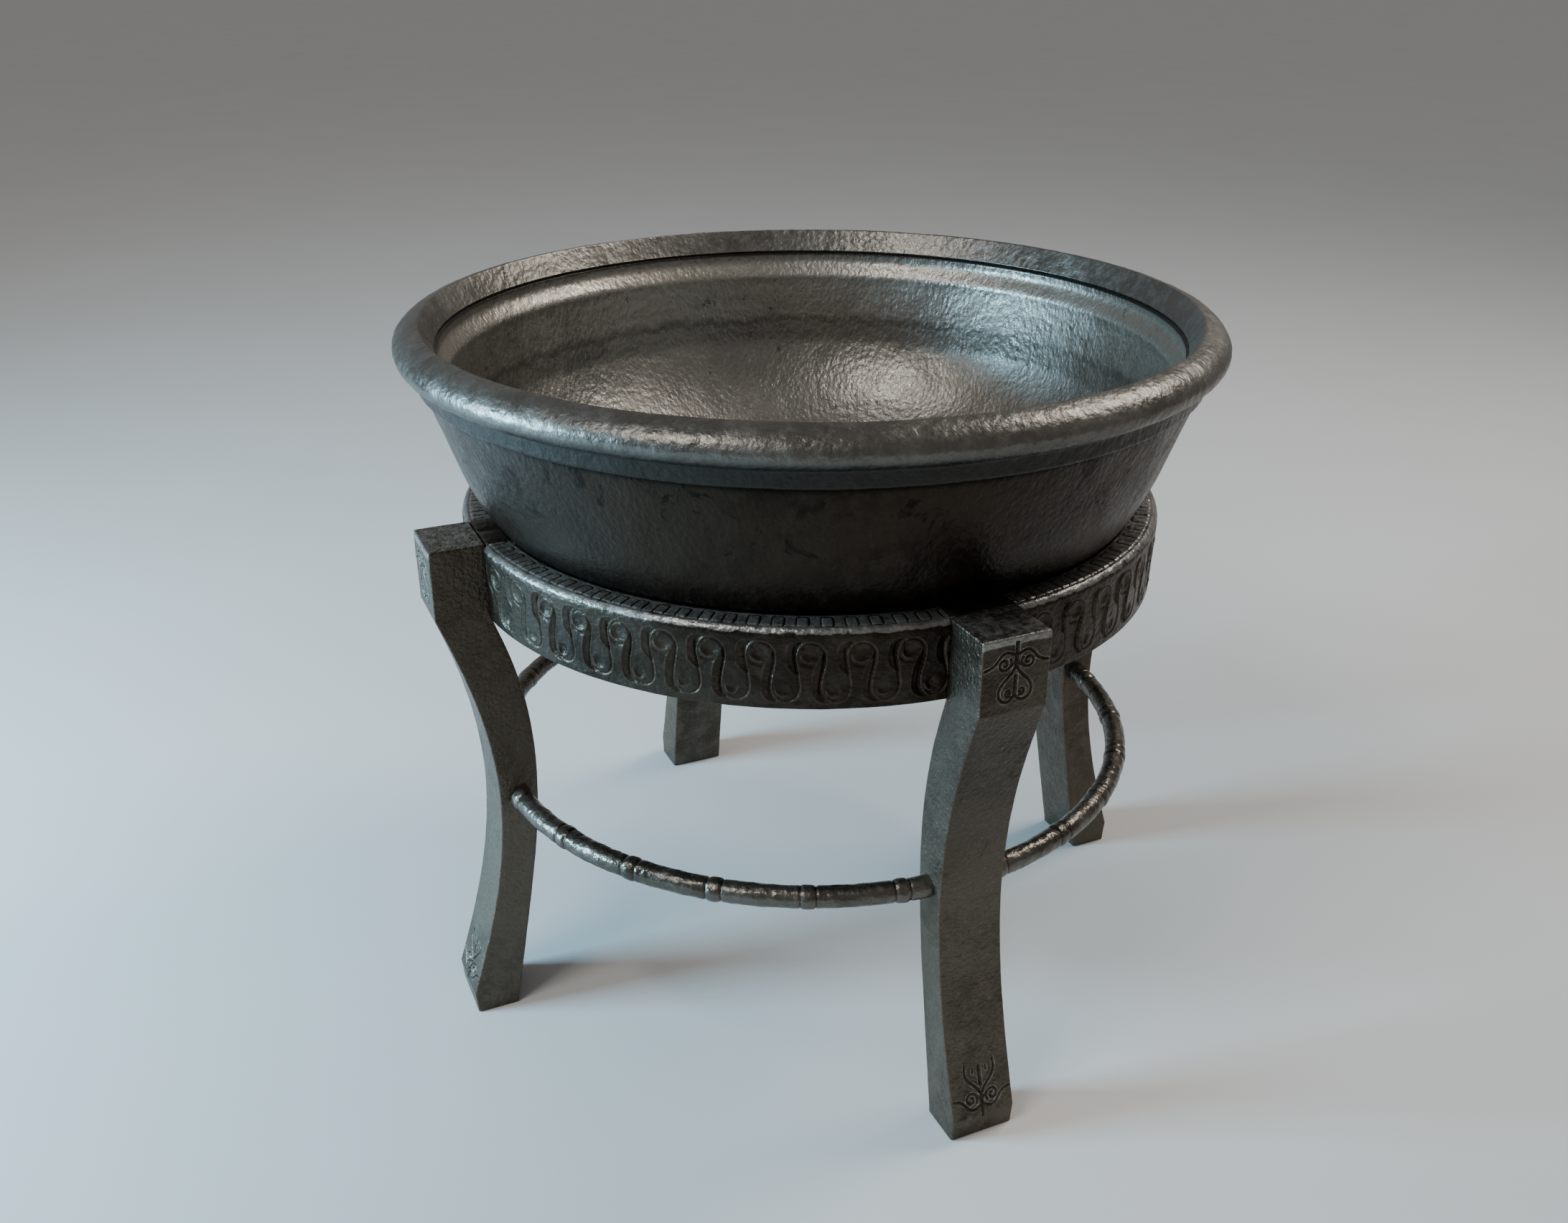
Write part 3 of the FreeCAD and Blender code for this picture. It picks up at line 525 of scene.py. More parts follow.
def rim_profile():
    """Closed (radius, height) line of the rim: skirt, tilted oval, straight inner slope, flat underside.

    The oval is centre + long half-axis times cosine along the tilt + short half-axis times sine across it.
    The slope runs from the lip's inner edge to the crest. The larger of the two radii is taken, rounded
    where they cross: half of (r + s + root of ((r - s) squared + k squared)).
    """
    reach = math.hypot(RIM_LONG * math.cos(RIM_TILT), RIM_SHORT * math.sin(RIM_TILT))
    centre = np.array([RIM_RADIUS - reach, SKIRT_FOOT + RIM_RISE])
    skirt_inside = LIP_RADIUS + LIP_CLEARANCE
    lip_inside = LIP_RADIUS - LIP_THICKNESS
    rest = LIP_TOP + LIP_CLEARANCE
    fine = np.linspace(0, TAU, 3600, endpoint=False)
    along = RIM_LONG * np.cos(fine)
    across = RIM_SHORT * np.sin(fine)
    oval = centre + np.stack([along * math.cos(RIM_TILT) + across * math.sin(RIM_TILT),
                              across * math.cos(RIM_TILT) - along * math.sin(RIM_TILT)], axis=-1)
    low = oval[:, 1] < centre[1]
    inner = oval[:, 0] < centre[0]
    foot_edge = 1.4 * MM
    first = np.argmin(np.where(low, np.abs(oval[:, 0] - skirt_inside - 1.35 * SKIRT_THICKNESS), 9))
    last = np.argmin(np.where(inner, np.abs(oval[:, 1] - rest - foot_edge), 9))
    steps = (last - first) % len(fine)
    line = oval[(first + np.arange(steps + 1)) % len(fine)]
    crest_height = centre[1] + RIM_SHORT
    slope = (RIM_RADIUS - CREST_INSET - lip_inside) / (crest_height - rest)
    straight = lip_inside + slope * (line[:, 1] - rest)
    clipped = (line[:, 0] + straight + np.hypot(line[:, 0] - straight, 3 * MM)) / 2
    over = np.arange(len(line)) > len(line) // 4
    line = respaced(np.stack([np.where(over, clipped, line[:, 0]), line[:, 1]], axis=-1), 68)
    skirt_edge = 1.2 * MM
    skirt_outside = skirt_inside + SKIRT_THICKNESS
    return np.concatenate([
        path(((skirt_inside, SKIRT_FOOT), 2), ((skirt_outside - skirt_edge, SKIRT_FOOT), 2),
             ((skirt_outside, SKIRT_FOOT + skirt_edge), 7), (line[0], 0)),
        line[:-1],
        path((line[-1], 2), ((line[-1, 0] + foot_edge, rest), 2), ((skirt_inside, rest), 4),
             ((skirt_inside, SKIRT_FOOT), 0)),
    ])


def make_rim():
    """The rim's profile turned full circle, sunk by hammer cups, broad lumps and short slanting strokes.

    The strokes are lumps read in the plane of (way round, way over), turned by 40 degrees and drawn out
    along their length. Nothing is raised.
    """
    profile = rim_profile()
    normals = outward_normals(profile)
    angles = np.arange(RIM_COLUMNS) * TAU / RIM_COLUMNS
    points = spun(profile, angles)
    direction = spun(normals, angles)
    radius = np.hypot(points[..., 0], points[..., 1])
    height = points[..., 2]
    hidden = (radius < LIP_RADIUS + MM) & (height < LIP_TOP + 0.6 * MM)
    over = np.concatenate([[0], np.cumsum(np.linalg.norm(np.diff(profile, axis=0), axis=1))])
    slant = math.radians(40)
    round_way = RIM_RADIUS * angles[:, None]
    stroked = lumps(np.stack([(round_way * math.cos(slant) + over * math.sin(slant)) / 3,
                              over * math.cos(slant) - round_way * math.sin(slant), 0 * round_way + 0 * over],
                             axis=-1), 3.2 * MM, 15)
    cups = 1 - dents(points, 13 * MM, 11)
    broad = 0.5 - 0.5 * lumps(points, 40 * MM, 12)
    fine = 0.5 - 0.5 * lumps(points, 6 * MM, 13)
    depth = (0.4 * cups + 0.6 * broad + 0.12 * fine + 0.22 * (0.5 - 0.5 * stroked)) * MM
    points = points - direction * np.where(hidden, 0, depth)[..., None]
    crest = ease(0.55, 1.0, normals[:, 1])[None, :]
    # Painted highlight along the rounded foot of the inner slope.
    inner_foot_highlight = (normals[:, 0] < 0)[None, :] * (1 - ease(LIP_TOP + MM, LIP_TOP + 5 * MM, height))
    # Painted shade: the rim's outer underside darkened towards black.
    painted_shade = 0.9 * (1 - ease(SKIRT_FOOT + 14 * MM, SKIRT_FOOT + 32 * MM, height)) * (normals[:, 0] > 0)[None, :]
    wear_and_highlight = 0.12 * crest + 0.25 * np.clip(1 - 1.6 * cups, 0, 1) * (0.4 + 0.6 * crest) + 0.3 * inner_foot_highlight
    piece("rolled_rim", points, "bowl", RIM_IRON, "rim_hoop", True,
          {"rust_and_painted_shade": 0.15 * painted_shade, "painted_shade": painted_shade, "wear_and_highlight": wear_and_highlight})


# ---- ring
FRIEZE_UNITS = 52
UNIT = TAU * RING_RADIUS / FRIEZE_UNITS
FRIEZE_HALF = 24.3 * MM
FRIEZE_MIDDLE = 30.3 * MM
MEANDER_SWELL = 5.4 * MM
FRIEZE_SHIFT = 2.6 * MM
PAD_LENGTH = 13.5 * MM
PAD_WIDTH = 8.2 * MM


def frieze_relief(along, up):
    """Height of the carved frieze at (along, up), and how far its raised line shows there.

    The line is x = pitch times t + swell sin 2t, z = middle + half height cos t: horseshoe arches joined by
    round hollows. It stands up as a fine ridge, with a groove on its inner side at every bend. Left of its
    upright stretches the face falls towards it from a fine lip 7 mm away. A dish with a crescent lip and a
    fold under it sits in each arch, and a smaller one in each hollow. Every other arch is cut deeper.
    """
    arch = np.round(along / UNIT)
    force = np.where(np.mod(arch, 2) == 0, 1.12, 0.85) + 0.12 * lattice(
        np.stack([arch, 0 * arch, 0 * arch], axis=-1).astype(np.int64), 5)
    force = force.ravel()
    along = np.mod(along, UNIT)
    turn = np.linspace(-0.6 * TAU, 1.6 * TAU, 420)
    line = np.stack([UNIT * turn / TAU + MEANDER_SWELL * np.sin(2 * turn),
                     FRIEZE_MIDDLE + FRIEZE_HALF * np.cos(turn)], axis=-1)
    inward = np.stack([-np.abs(np.sin(turn)), -np.cos(turn)], axis=-1)
    place = np.stack([along.ravel(), up.ravel()], axis=-1)
    nearest = np.empty(len(place), int)
    for part in np.array_split(np.arange(len(place)), 40):
        gap = (place[part, None, 0] - line[None, :, 0]) ** 2 + (place[part, None, 1] - line[None, :, 1]) ** 2
        nearest[part] = np.argmin(gap, axis=1)
    offset = place - line[nearest]
    distance = np.linalg.norm(offset, axis=-1)
    ahead = np.sum(offset * inward[nearest], axis=-1)
    degrees = np.degrees(np.mod(turn[nearest], TAU))
    right_side = ease(20, 95, degrees) * (1 - ease(128, 178, degrees))
    left_shoulder = ease(255, 288, degrees) * (1 - ease(318, 352, degrees))
    reach = 7.4 * MM * np.maximum(right_side, left_shoulder) + 1e-6
    full = np.clip(reach / (3.5 * MM), 0, 1)
    left = 1 - ease(-0.4 * MM, 0.2 * MM, offset[:, 0])
    sink = left * 2.0 * MM * np.clip(1 - distance / reach, 0, 1) ** 0.8 * full
    lip = left * 0.4 * MM * np.exp(-((distance - reach) / (0.6 * MM)) ** 2) * full
    groove = 0.8 * MM * np.exp(-((ahead - 1.1 * MM) / (0.7 * MM)) ** 2) * (distance < 3 * MM)
    ridge = np.exp(-(distance / (0.75 * MM)) ** 2)
    height = lip - sink - groove + 0.35 * MM * ridge
    shown = np.maximum(ridge, np.clip(lip / (0.4 * MM), 0, 1) * 0.8)
    for centre_x, centre_z, radius, deep in (
            (-0.4 * MM, FRIEZE_HALF - 9.2 * MM, 7.2 * MM, 1.1 * MM),
            (UNIT / 2 - 2.0 * MM, -FRIEZE_HALF + 10.4 * MM, 5.4 * MM, 0.9 * MM)):
        across = np.mod(place[:, 0] - centre_x + UNIT / 2, UNIT) - UNIT / 2
        rise = place[:, 1] - FRIEZE_MIDDLE - centre_z
        gap = np.hypot(across, rise)
        lower_left = -(rise + 0.55 * across) / (1.14 * gap + 1e-9)
        away = ease(2.0 * MM, 3.2 * MM, distance)
        dish = deep * (1 - ease(0.35 * radius, radius, gap)) * away
        brim = 0.75 * MM * np.exp(-((gap - radius) / (0.9 * MM)) ** 2) * ease(0.15, 0.85, lower_left) * away
        fold = 0.9 * MM * np.exp(-((gap - radius - 3.0 * MM) / (0.9 * MM)) ** 2)
        fold = fold * ease(0.35, 0.95, lower_left) * away
        height = height + brim - fold - dish
        shown = np.maximum(shown, np.clip(brim / (0.75 * MM), 0, 1))
    return (height * force).reshape(along.shape), shown.reshape(along.shape)


def pad_relief(along, inward):
    """Height of the ring's top: long rounded pads at half the frieze's pitch, each inside a groove painted
    dark as shade.

    The ground between them lies a little lower, and falls away in a ragged nick behind the worn edge, painted
    dark as shade too.
    """
    pitch = UNIT / 2
    across = np.mod(along, pitch) - pitch / 2
    middle = RING_BEVEL + 1.8 * MM + PAD_LENGTH / 2
    rounding = 2.2 * MM
    beyond = np.stack([np.abs(across) - PAD_WIDTH / 2 + rounding,
                       np.abs(inward - middle) - PAD_LENGTH / 2 + rounding])
    gap = np.hypot(*np.maximum(beyond, 0)) + np.minimum(np.maximum(*beyond), 0) - rounding
    raised = 1 - ease(-0.9 * MM, 0.3 * MM, gap)
    outline = np.exp(-((gap - 0.5 * MM) / (0.5 * MM)) ** 2)
    behind = np.exp(-((inward - RING_BEVEL - 1.6 * MM) / (0.9 * MM)) ** 2) * (gap > 0)
    return -0.2 * MM * (1 - raised) - 0.7 * MM * np.maximum(outline, 0.9 * behind)


CROWN = 8 * MM
FACE_ROWS, CROWN_ROWS, TOP_ROWS = 84, 14, 20
CROWN_MIDDLE = FACE_ROWS + CROWN_ROWS / 2
RING_COLUMNS = 640
HOUSED_COLUMNS = 4


def ring_profile():
    """Closed (radius, height) line of the ring, starting at its outer foot and running up its outside.

    The outer top edge is a quarter circle that stays inside the design's bevel.
    """
    foot = RING_RADIUS - RING_TAPER
    crown = RING_RADIUS - CROWN
    seat_top = RING_RADIUS - SEAT_TOP_INSET
    seat_foot = RING_RADIUS - SEAT_FOOT_INSET
    web = RING_RADIUS - RING_WEB
    shoulder = RING_TOP - RING_FLANGE
    edge = 1.0 * MM
    return np.concatenate([
        run((foot, RING_FOOT + edge), (RING_RADIUS, RING_TOP - CROWN), FACE_ROWS),
        sweep((crown, RING_TOP - CROWN), CROWN, 0, 90, CROWN_ROWS),
        path(((crown, RING_TOP), TOP_ROWS), ((seat_top, RING_TOP), 3),
             ((seat_foot, RING_TOP - SEAT_DEPTH), 1), ((seat_foot, shoulder), 2),
             ((web, shoulder - (web - seat_foot)), 3), ((web, RING_FOOT), 4),
             ((foot - edge, RING_FOOT), 2), ((foot, RING_FOOT + edge), 0)),
    ])


def make_ring_quarter(side, middle):
    """A quarter of the ring between two legs' middles. Its ends are flat where the legs' housings hold them.

    The outer face carries the frieze and the top carries the pads. The crown between them is dented and
    worn.
    """
    profile = ring_profile()
    normals = outward_normals(profile)
    quarter = math.radians(45)
    housing = math.asin(LEG_WIDTH / 2 / RING_RADIUS)
    bare = np.linspace(-quarter + housing, quarter - housing, RING_COLUMNS)
    covered = np.linspace(-quarter, -quarter + housing, HOUSED_COLUMNS)
    angles = np.concatenate([covered, bare, -covered[::-1]])
    free = np.pad(np.ones(RING_COLUMNS), HOUSED_COLUMNS)[:, None]
    points = spun(profile, angles)
    along = (angles + math.radians(middle))[:, None] * RING_RADIUS
    up = np.broadcast_to(profile[:, 1] - RING_FOOT, points.shape[:2])
    radius = np.broadcast_to(profile[:, 0], points.shape[:2])
    station = np.arange(len(profile))[None, :]
    face = (station < FACE_ROWS) * ease(2.5 * MM, 5 * MM, up)
    top = (station > FACE_ROWS + 10) & (station < FACE_ROWS + CROWN_ROWS + TOP_ROWS - 1)
    along = np.broadcast_to(along, points.shape[:2])
    carved, raised_line = frieze_relief(along + FRIEZE_SHIFT, up)
    relief = np.where(station < FACE_ROWS, carved * face, 0)
    pads = np.where(top, pad_relief(along, RING_RADIUS - radius), 0)
    beaten = lumps(points, 11 * MM, 21) * 0.5 + lumps(points, 4.5 * MM, 22) * 0.3
    crown = np.exp(-((station - CROWN_MIDDLE) / 5.5) ** 2)
    hammered = (0.5 - 0.5 * beaten) * 0.5 * MM
    height = (relief + pads - hammered - crown * 0.5 * MM * np.clip(beaten, 0, 1)) * free
    shown = (station < FACE_ROWS + CROWN_ROWS + TOP_ROWS) | (station > len(profile) - 7)
    points = points + spun(normals, angles) * (height * shown)[..., None]
    points = turned(points, middle)
    # Rust in the frieze's hollows and the pads' grooves, with painted shade darkening the deepest of them.
    rust_and_painted_shade = np.clip(-relief / (2.6 * MM) + 0.8 * ease(0.4 * MM, 0.8 * MM, -pads), 0, 1) * free
    edge = 0.45 * raised_line * face * free
    # The crown is worn in patches, the raised frieze line gets a painted highlight, and the top is paler
    # outside its grooves.
    wear_and_highlight = np.exp(-((station - CROWN_MIDDLE - 1) / 5.0) ** 4) * (0.8 + 0.6 * beaten) * free
    wear_and_highlight = wear_and_highlight + (0.15 * raised_line * face + 0.68 * top * (pads > -0.4 * MM)) * free
    for ahead in (-45, 45):
        local = turned(points, -(middle + ahead))
        inside = (np.abs(local[..., 1]) < LEG_WIDTH / 2 + 0.05 * MM) & (local[..., 0] > 0) & (free == 0)
        flat = RING_RADIUS - HOUSING_DEPTH - 0.2 * MM
        local[..., 0] = np.where(inside, np.minimum(local[..., 0], flat), local[..., 0])
        points = np.where(inside[..., None], turned(local, middle + ahead), points)
    piece("ring_" + side, points, "stand", RING_IRON, "stand_ring", False,
          {"rust_and_painted_shade": rust_and_painted_shade, "wear_and_highlight": wear_and_highlight, "edge": edge})


# ---- legs
BLOCK_FACE = 41 * MM
BLOCK_FOOT = RING_FOOT + 6 * MM
SHOULDER_HEIGHT = BAR_HEIGHT + 0.72 * (RING_FOOT - BAR_HEIGHT)
CALF_HEIGHT = BAR_HEIGHT * 0.42
TOE_HEIGHT = 20 * MM
CORNER = 1.6 * MM
MOTIF_LENGTH = 52 * MM
LOW_MOTIF = 14 * MM
FACE_POINTS, SIDE_POINTS, INNER_POINTS = 92, 14, 12
SOLE_EDGE = 1.2 * MM
HEAD_EDGE = 1.8 * MM


def stroke(points, count=60):
    """Points along a smooth line through a few given ones, by the natural cubic spline on the run of each."""
    given = np.array(points, float)
    station = np.concatenate([[0], np.cumsum(np.linalg.norm(np.diff(given, axis=0), axis=1))])
    wanted = np.linspace(0, station[-1], count)
    return np.stack([smooth_curve(station, given[:, axis], wanted) for axis in range(2)], axis=-1)


def volute(centre, radius, start, turns, count=70):
    """Spiral: the radius shrinks evenly to a quarter of itself while the angle runs through the turns."""
    share = np.linspace(0, 1, count)
    angle = math.radians(start) + TAU * turns * share
    size = radius * (1 - 0.75 * share)
    return np.stack([centre[0] + size * np.cos(angle), centre[1] + size * np.sin(angle)], axis=-1)


def leg_motif(closed):
    """The carved motif in millimetres from the leg's end: a stem, two volutes with tails, and a heart.

    It is a list of (line, half width, depth). A closed heart has curled lobes and holds a small fleur, and an
    open one holds two strokes.
    """
    heart = [(0.3, 22.5), (3.2, 27.5), (9, 33.5)] + (
        [(13.2, 40), (12.8, 45.5), (9, 49.6), (4.6, 49.8), (1.2, 46.6)] if closed
        else [(12.6, 39), (13.4, 44), (12.8, 48.5)])
    half = [
        (stroke([(0.4, 14.2), (4, 12.6), (9, 11.4), (13.5, 14.2), (17, 18.4), (22, 21.5), (25.5, 22.3)]),
         1.15, 1.0),
        (volute((9.8, 20.0), 5.8, 215, -1.35), 1.1, 1.0),
        (stroke([(0.3, 13), (1.6, 19.5), (5.6, 23.4)]), 0.9, 0.8),
        (stroke(heart), 1.2, 1.1),
        (volute((5.2, 43.2), 3.3, 120, -1.2), 0.95, 0.9) if closed
        else (stroke([(6.4, 41), (6.0, 45)]), 0.9, 0.8),
    ]
    lines = [(stroke([(0, 4.5), (0, 9), (0, 14), (0, 19), (0, 23.5)]), 1.7, 1.1),
             (stroke([(0, 30.5), (0, 34.5), (0, 38.5), (0, 46)]), 1.6, 1.2)]
    for line, width, depth in half:
        lines.append((line, width, depth))
        lines.append((line * (-1, 1), width, depth))
    return lines


def carve(across, down, closed):
    """Depth of the motif at (across, down) in metres: each stroke is a groove with a faint lip at its edge.

    A groove's depth is its full depth times e to minus the fourth power of distance over 0.82 of half width.
    """
    place = np.stack([across.ravel(), down.ravel()], axis=-1) / MM
    depth = np.zeros(len(place))
    lip = np.zeros(len(place))
    for line, width, deep in leg_motif(closed):
        gap = np.full(len(place), 99.0)
        for part in np.array_split(np.arange(len(place)), 8):
            gap[part] = np.min(np.hypot(place[part, None, 0] - line[None, :, 0],
                                        place[part, None, 1] - line[None, :, 1]), axis=1)
        depth = np.maximum(depth, deep * np.exp(-(gap / (0.82 * width)) ** 4))
        lip = np.maximum(lip, 0.3 * np.exp(-((gap - 0.82 * width - 0.6) / 0.55) ** 2))
    return ((depth - lip * (depth < 0.2)) * MM).reshape(across.shape)


def leg_section():
    """Leg's cross-section as unit places and outward directions: outer face, side, inner face, side."""
    face = np.linspace(-1, 1, FACE_POINTS)
    side = np.linspace(1, -1, SIDE_POINTS)
    inner = np.linspace(1, -1, INNER_POINTS)
    places, ways = [], []
    corner_angles = np.linspace(0, 90, 4)[1:-1]
    for points, way, corner in (
            (np.stack([np.ones(FACE_POINTS), face], -1), (1, 0), (1, 1)),
            (np.stack([side, np.ones(SIDE_POINTS)], -1), (0, 1), (-1, 1)),
            (np.stack([-np.ones(INNER_POINTS), inner], -1), (-1, 0), (-1, -1)),
            (np.stack([-side, -np.ones(SIDE_POINTS)], -1), (0, -1), (1, -1))):
        places.append(points)
        ways.append(np.broadcast_to(way, points.shape).astype(float))
        base = math.degrees(math.atan2(way[1], way[0]))
        turns = np.radians(base + corner_angles)
        places.append(np.broadcast_to(corner, (len(turns), 2)).astype(float))
        ways.append(np.stack([np.cos(turns), np.sin(turns)], -1))
    return np.concatenate(places), np.concatenate(ways)


def make_leg(name, angle):
    """A leg: its section carried from floor to top between an inner and an outer curve, closed at both ends.

    At height z the section runs from the inner to the outer curve's radius. The last rows turn in over a
    rounded edge and shrink towards the middle. The outer face is carved near both ends.
    """
    waist = BAR_CENTRE_RADIUS
    shoulder = RING_RADIUS + 1.4 * MM
    calf = RING_RADIUS + 3.8 * MM
    toe = RING_RADIUS + 42 * MM
    inner_top = RING_RADIUS - HOUSING_DEPTH
    heights = np.concatenate([
        np.linspace(SOLE_EDGE, 11 * MM, 6), np.linspace(12 * MM, 80 * MM, 108),
        np.linspace(83 * MM, RING_TOP - 63 * MM, 120), np.linspace(RING_TOP - 60 * MM, RING_TOP - 4 * MM, 90),
        np.linspace(RING_TOP - 3.4 * MM, RING_TOP - HEAD_EDGE, 3)])
    outer_line = smooth_curve(
        [TOE_HEIGHT, CALF_HEIGHT, BAR_HEIGHT, SHOULDER_HEIGHT, BLOCK_FOOT],
        [toe, calf + 17 * MM, waist + 16.7 * MM, shoulder + 21.3 * MM, RING_RADIUS + BLOCK_FACE],
        np.clip(heights, TOE_HEIGHT, BLOCK_FOOT))
    outer_line = outer_line - 2 * MM * (1 - np.clip(heights / TOE_HEIGHT, 0, 1))
    inner_line = smooth_curve(
        [0, CALF_HEIGHT, BAR_HEIGHT, SHOULDER_HEIGHT, RING_FOOT],
        [toe - 39 * MM, calf - 17 * MM, waist - 16.7 * MM, shoulder - 21.3 * MM, inner_top],
        np.clip(heights, 0, RING_FOOT))
    section, way = leg_section()
    turn = np.radians(np.linspace(0, 90, 4))
    sole_rows, toe_rows, crown_rows, top_rows = 7, 3, 3, 14
    rows_z = np.concatenate([np.zeros(sole_rows), SOLE_EDGE * (1 - np.cos(turn[:-1])), heights,
                             RING_TOP - HEAD_EDGE + HEAD_EDGE * np.sin(turn[1:]),
                             np.full(top_rows, RING_TOP)])
    rows_inset = np.concatenate([np.full(sole_rows, SOLE_EDGE), SOLE_EDGE * (1 - np.sin(turn[:-1])),
                                 np.zeros(len(heights)), HEAD_EDGE * (1 - np.cos(turn[1:])),
                                 np.full(top_rows, HEAD_EDGE)])
    rows_shrink = np.concatenate([np.linspace(0.97, 0.02, sole_rows),
                                  np.zeros(toe_rows + len(heights) + crown_rows),
                                  np.linspace(0.02, 0.97, top_rows)])
    outer_rows = np.pad(outer_line, (sole_rows + toe_rows, crown_rows + top_rows), mode="edge")
    inner_rows = np.pad(inner_line, (sole_rows + toe_rows, crown_rows + top_rows), mode="edge")
    keep = (1 - rows_shrink)[:, None]
    half_depth = ((outer_rows - inner_rows) / 2 - CORNER - rows_inset)[:, None]
    half_width = (LEG_WIDTH / 2 - CORNER - rows_inset)[:, None]
    out = (outer_rows + inner_rows)[:, None] / 2 + keep * (section[:, 0] * half_depth + CORNER * way[:, 0])
    across = keep * (section[:, 1] * half_width + CORNER * way[:, 1])
    height = np.broadcast_to(rows_z[:, None], out.shape)
    points = np.stack([out, across, height], axis=-1)
    upright = (rows_shrink == 0)[:, None]
    on_face = (np.arange(len(section)) < FACE_POINTS)[None, :] & upright
    top_band = on_face & (height > RING_TOP - MOTIF_LENGTH - 6 * MM) & (height < RING_TOP - 3.5 * MM)
    low_band = on_face & (height > LOW_MOTIF) & (height < 72 * MM)
    depth = np.zeros(out.shape)
    depth[top_band] = carve(across[top_band], (RING_TOP - height)[top_band], True)
    depth[low_band] = carve(across[low_band], (height - LOW_MOTIF)[low_band], False)
    seed = 31 + int(angle) % 97
    beaten = 0.5 * lumps(points, 13 * MM, seed) + 0.3 * lumps(points, 5 * MM, seed + 1)
    free = ease(0, 6 * MM, height) * (1 - ease(0.9, 1, rows_shrink)[:, None])
    level = (rows_z >= RING_TOP - 0.1 * MM)[:, None]
    sink = depth + (0.5 - 0.5 * beaten) * 0.55 * MM * free
    points[..., 0] -= np.where(level, 0, way[None, :, 0] * sink)
    points[..., 1] -= np.where(level, 0, way[None, :, 1] * (0.5 - 0.5 * beaten) * 0.55 * MM * free)
    points[..., 2] -= np.where(level, (0.5 - 0.5 * beaten) * 0.5 * MM, 0)
    corner = (np.abs(way).max(axis=-1) < 0.99)[None, :]
    band = ease(RING_TOP - 7.5 * MM, RING_TOP - 4.5 * MM, height) * upright * (way[None, :, 0] > 0.5)
    wear_and_highlight = 1.25 * band * (0.75 + 0.4 * beaten) + 0.45 * corner * (0.5 + 0.5 * beaten) * upright
    # The top face is paler, and the motif's lips get a painted highlight.
    wear_and_highlight = wear_and_highlight * (depth < 0.3 * MM) + 0.5 * level + 0.65 * np.clip(-depth / (0.25 * MM), 0, 1)
    wear_and_highlight = np.clip(wear_and_highlight, 0, 1)
    near_edge = 1 - ease(0.5 * MM, 3.5 * MM, LEG_WIDTH / 2 - np.abs(across))
    # Rust in the motif's grooves and near the face's edges, with painted shade darkening the deep grooves.
    rust_and_painted_shade = 0.8 * np.clip(depth / (0.85 * MM), 0, 1) + 0.45 * near_edge * on_face * (1 - corner)
    edge = (0.9 * corner + 0.3 * near_edge) * upright
    # Painted shade: the leg darker towards its top.
    painted_shade = 0.42 * ease(0.3 * RING_TOP, 0.7 * RING_TOP, height) * (1 - wear_and_highlight) * upright
    piece("forged_leg_" + name, turned(points, angle), "stand", LEG_IRON, "leg_" + name, False,
          {"rust_and_painted_shade": np.clip(rust_and_painted_shade, 0, 1), "painted_shade": painted_shade, "wear_and_highlight": wear_and_highlight, "edge": edge})


# ---- bars
BAR_STATIONS = 440
BAR_POINTS = 44


def make_bar(side, start):
    """A bent bar: a circle carried along the ring's curve from one leg's side to the next.

    Its radius swells to a soft collar at each pitch, with a shallow groove each side, and it is hammered
    all over.
    """
    housing = math.asin(LEG_WIDTH / 2 / BAR_CENTRE_RADIUS)
    margin = 4 * MM / BAR_CENTRE_RADIUS
    angles = np.linspace(housing - margin, math.radians(90) - housing + margin, BAR_STATIONS)
    around = np.arange(BAR_POINTS) * TAU / BAR_POINTS
    travel = (angles - housing) * BAR_CENTRE_RADIUS
    pitch = COLLAR_PITCH * BAR_CENTRE_RADIUS
    from_collar = np.abs(np.mod(travel - COLLAR_LENGTH / 2 + pitch / 2, pitch) - pitch / 2)
    collar = 1 - ease(COLLAR_LENGTH / 2 - 3 * MM, COLLAR_LENGTH / 2 + MM, from_collar)
    nick = np.exp(-((from_collar - COLLAR_LENGTH / 2 - 1.1 * MM) / (0.9 * MM)) ** 2)
    radius = BAR_RADIUS + 0.7 * MM * collar - 0.8 * MM * nick
    lift = radius[:, None] * np.cos(around)
    rise = radius[:, None] * np.sin(around)
    turn = angles[:, None]
    centre_out = BAR_CENTRE_RADIUS + lift
    points = np.stack([centre_out * np.cos(turn), centre_out * np.sin(turn), BAR_HEIGHT + rise], axis=-1)
    way = np.stack([np.cos(around) * np.cos(turn), np.cos(around) * np.sin(turn),
                    np.broadcast_to(np.sin(around), rise.shape)], axis=-1)
    seed = 61 + int(start) % 89
    cups = 1 - dents(points, 11 * MM, seed)
    beaten = 0.5 * lumps(points, 12 * MM, seed + 4) + 0.3 * lumps(points, 4 * MM, seed + 5)
    points = points - way * ((0.75 * cups + 0.6 * (0.5 - 0.5 * beaten)) * MM)[..., None]
    # Rust in the nicks and hammer cups, with painted shade darkening the nicks.
    rust_and_painted_shade = np.clip(0.8 * nick[:, None] + 0.2 * cups, 0, 1) * np.ones(rise.shape)
    wear_and_highlight = np.clip(0.35 * (1 - cups) * (np.sin(around) > -0.2) + 0.1 * collar[:, None], 0, 1)
    piece("bent_bar_" + side, turned(points, start), "stand", BAR_IRON, "stretcher_" + side,
          False, {"rust_and_painted_shade": rust_and_painted_shade, "wear_and_highlight": wear_and_highlight})


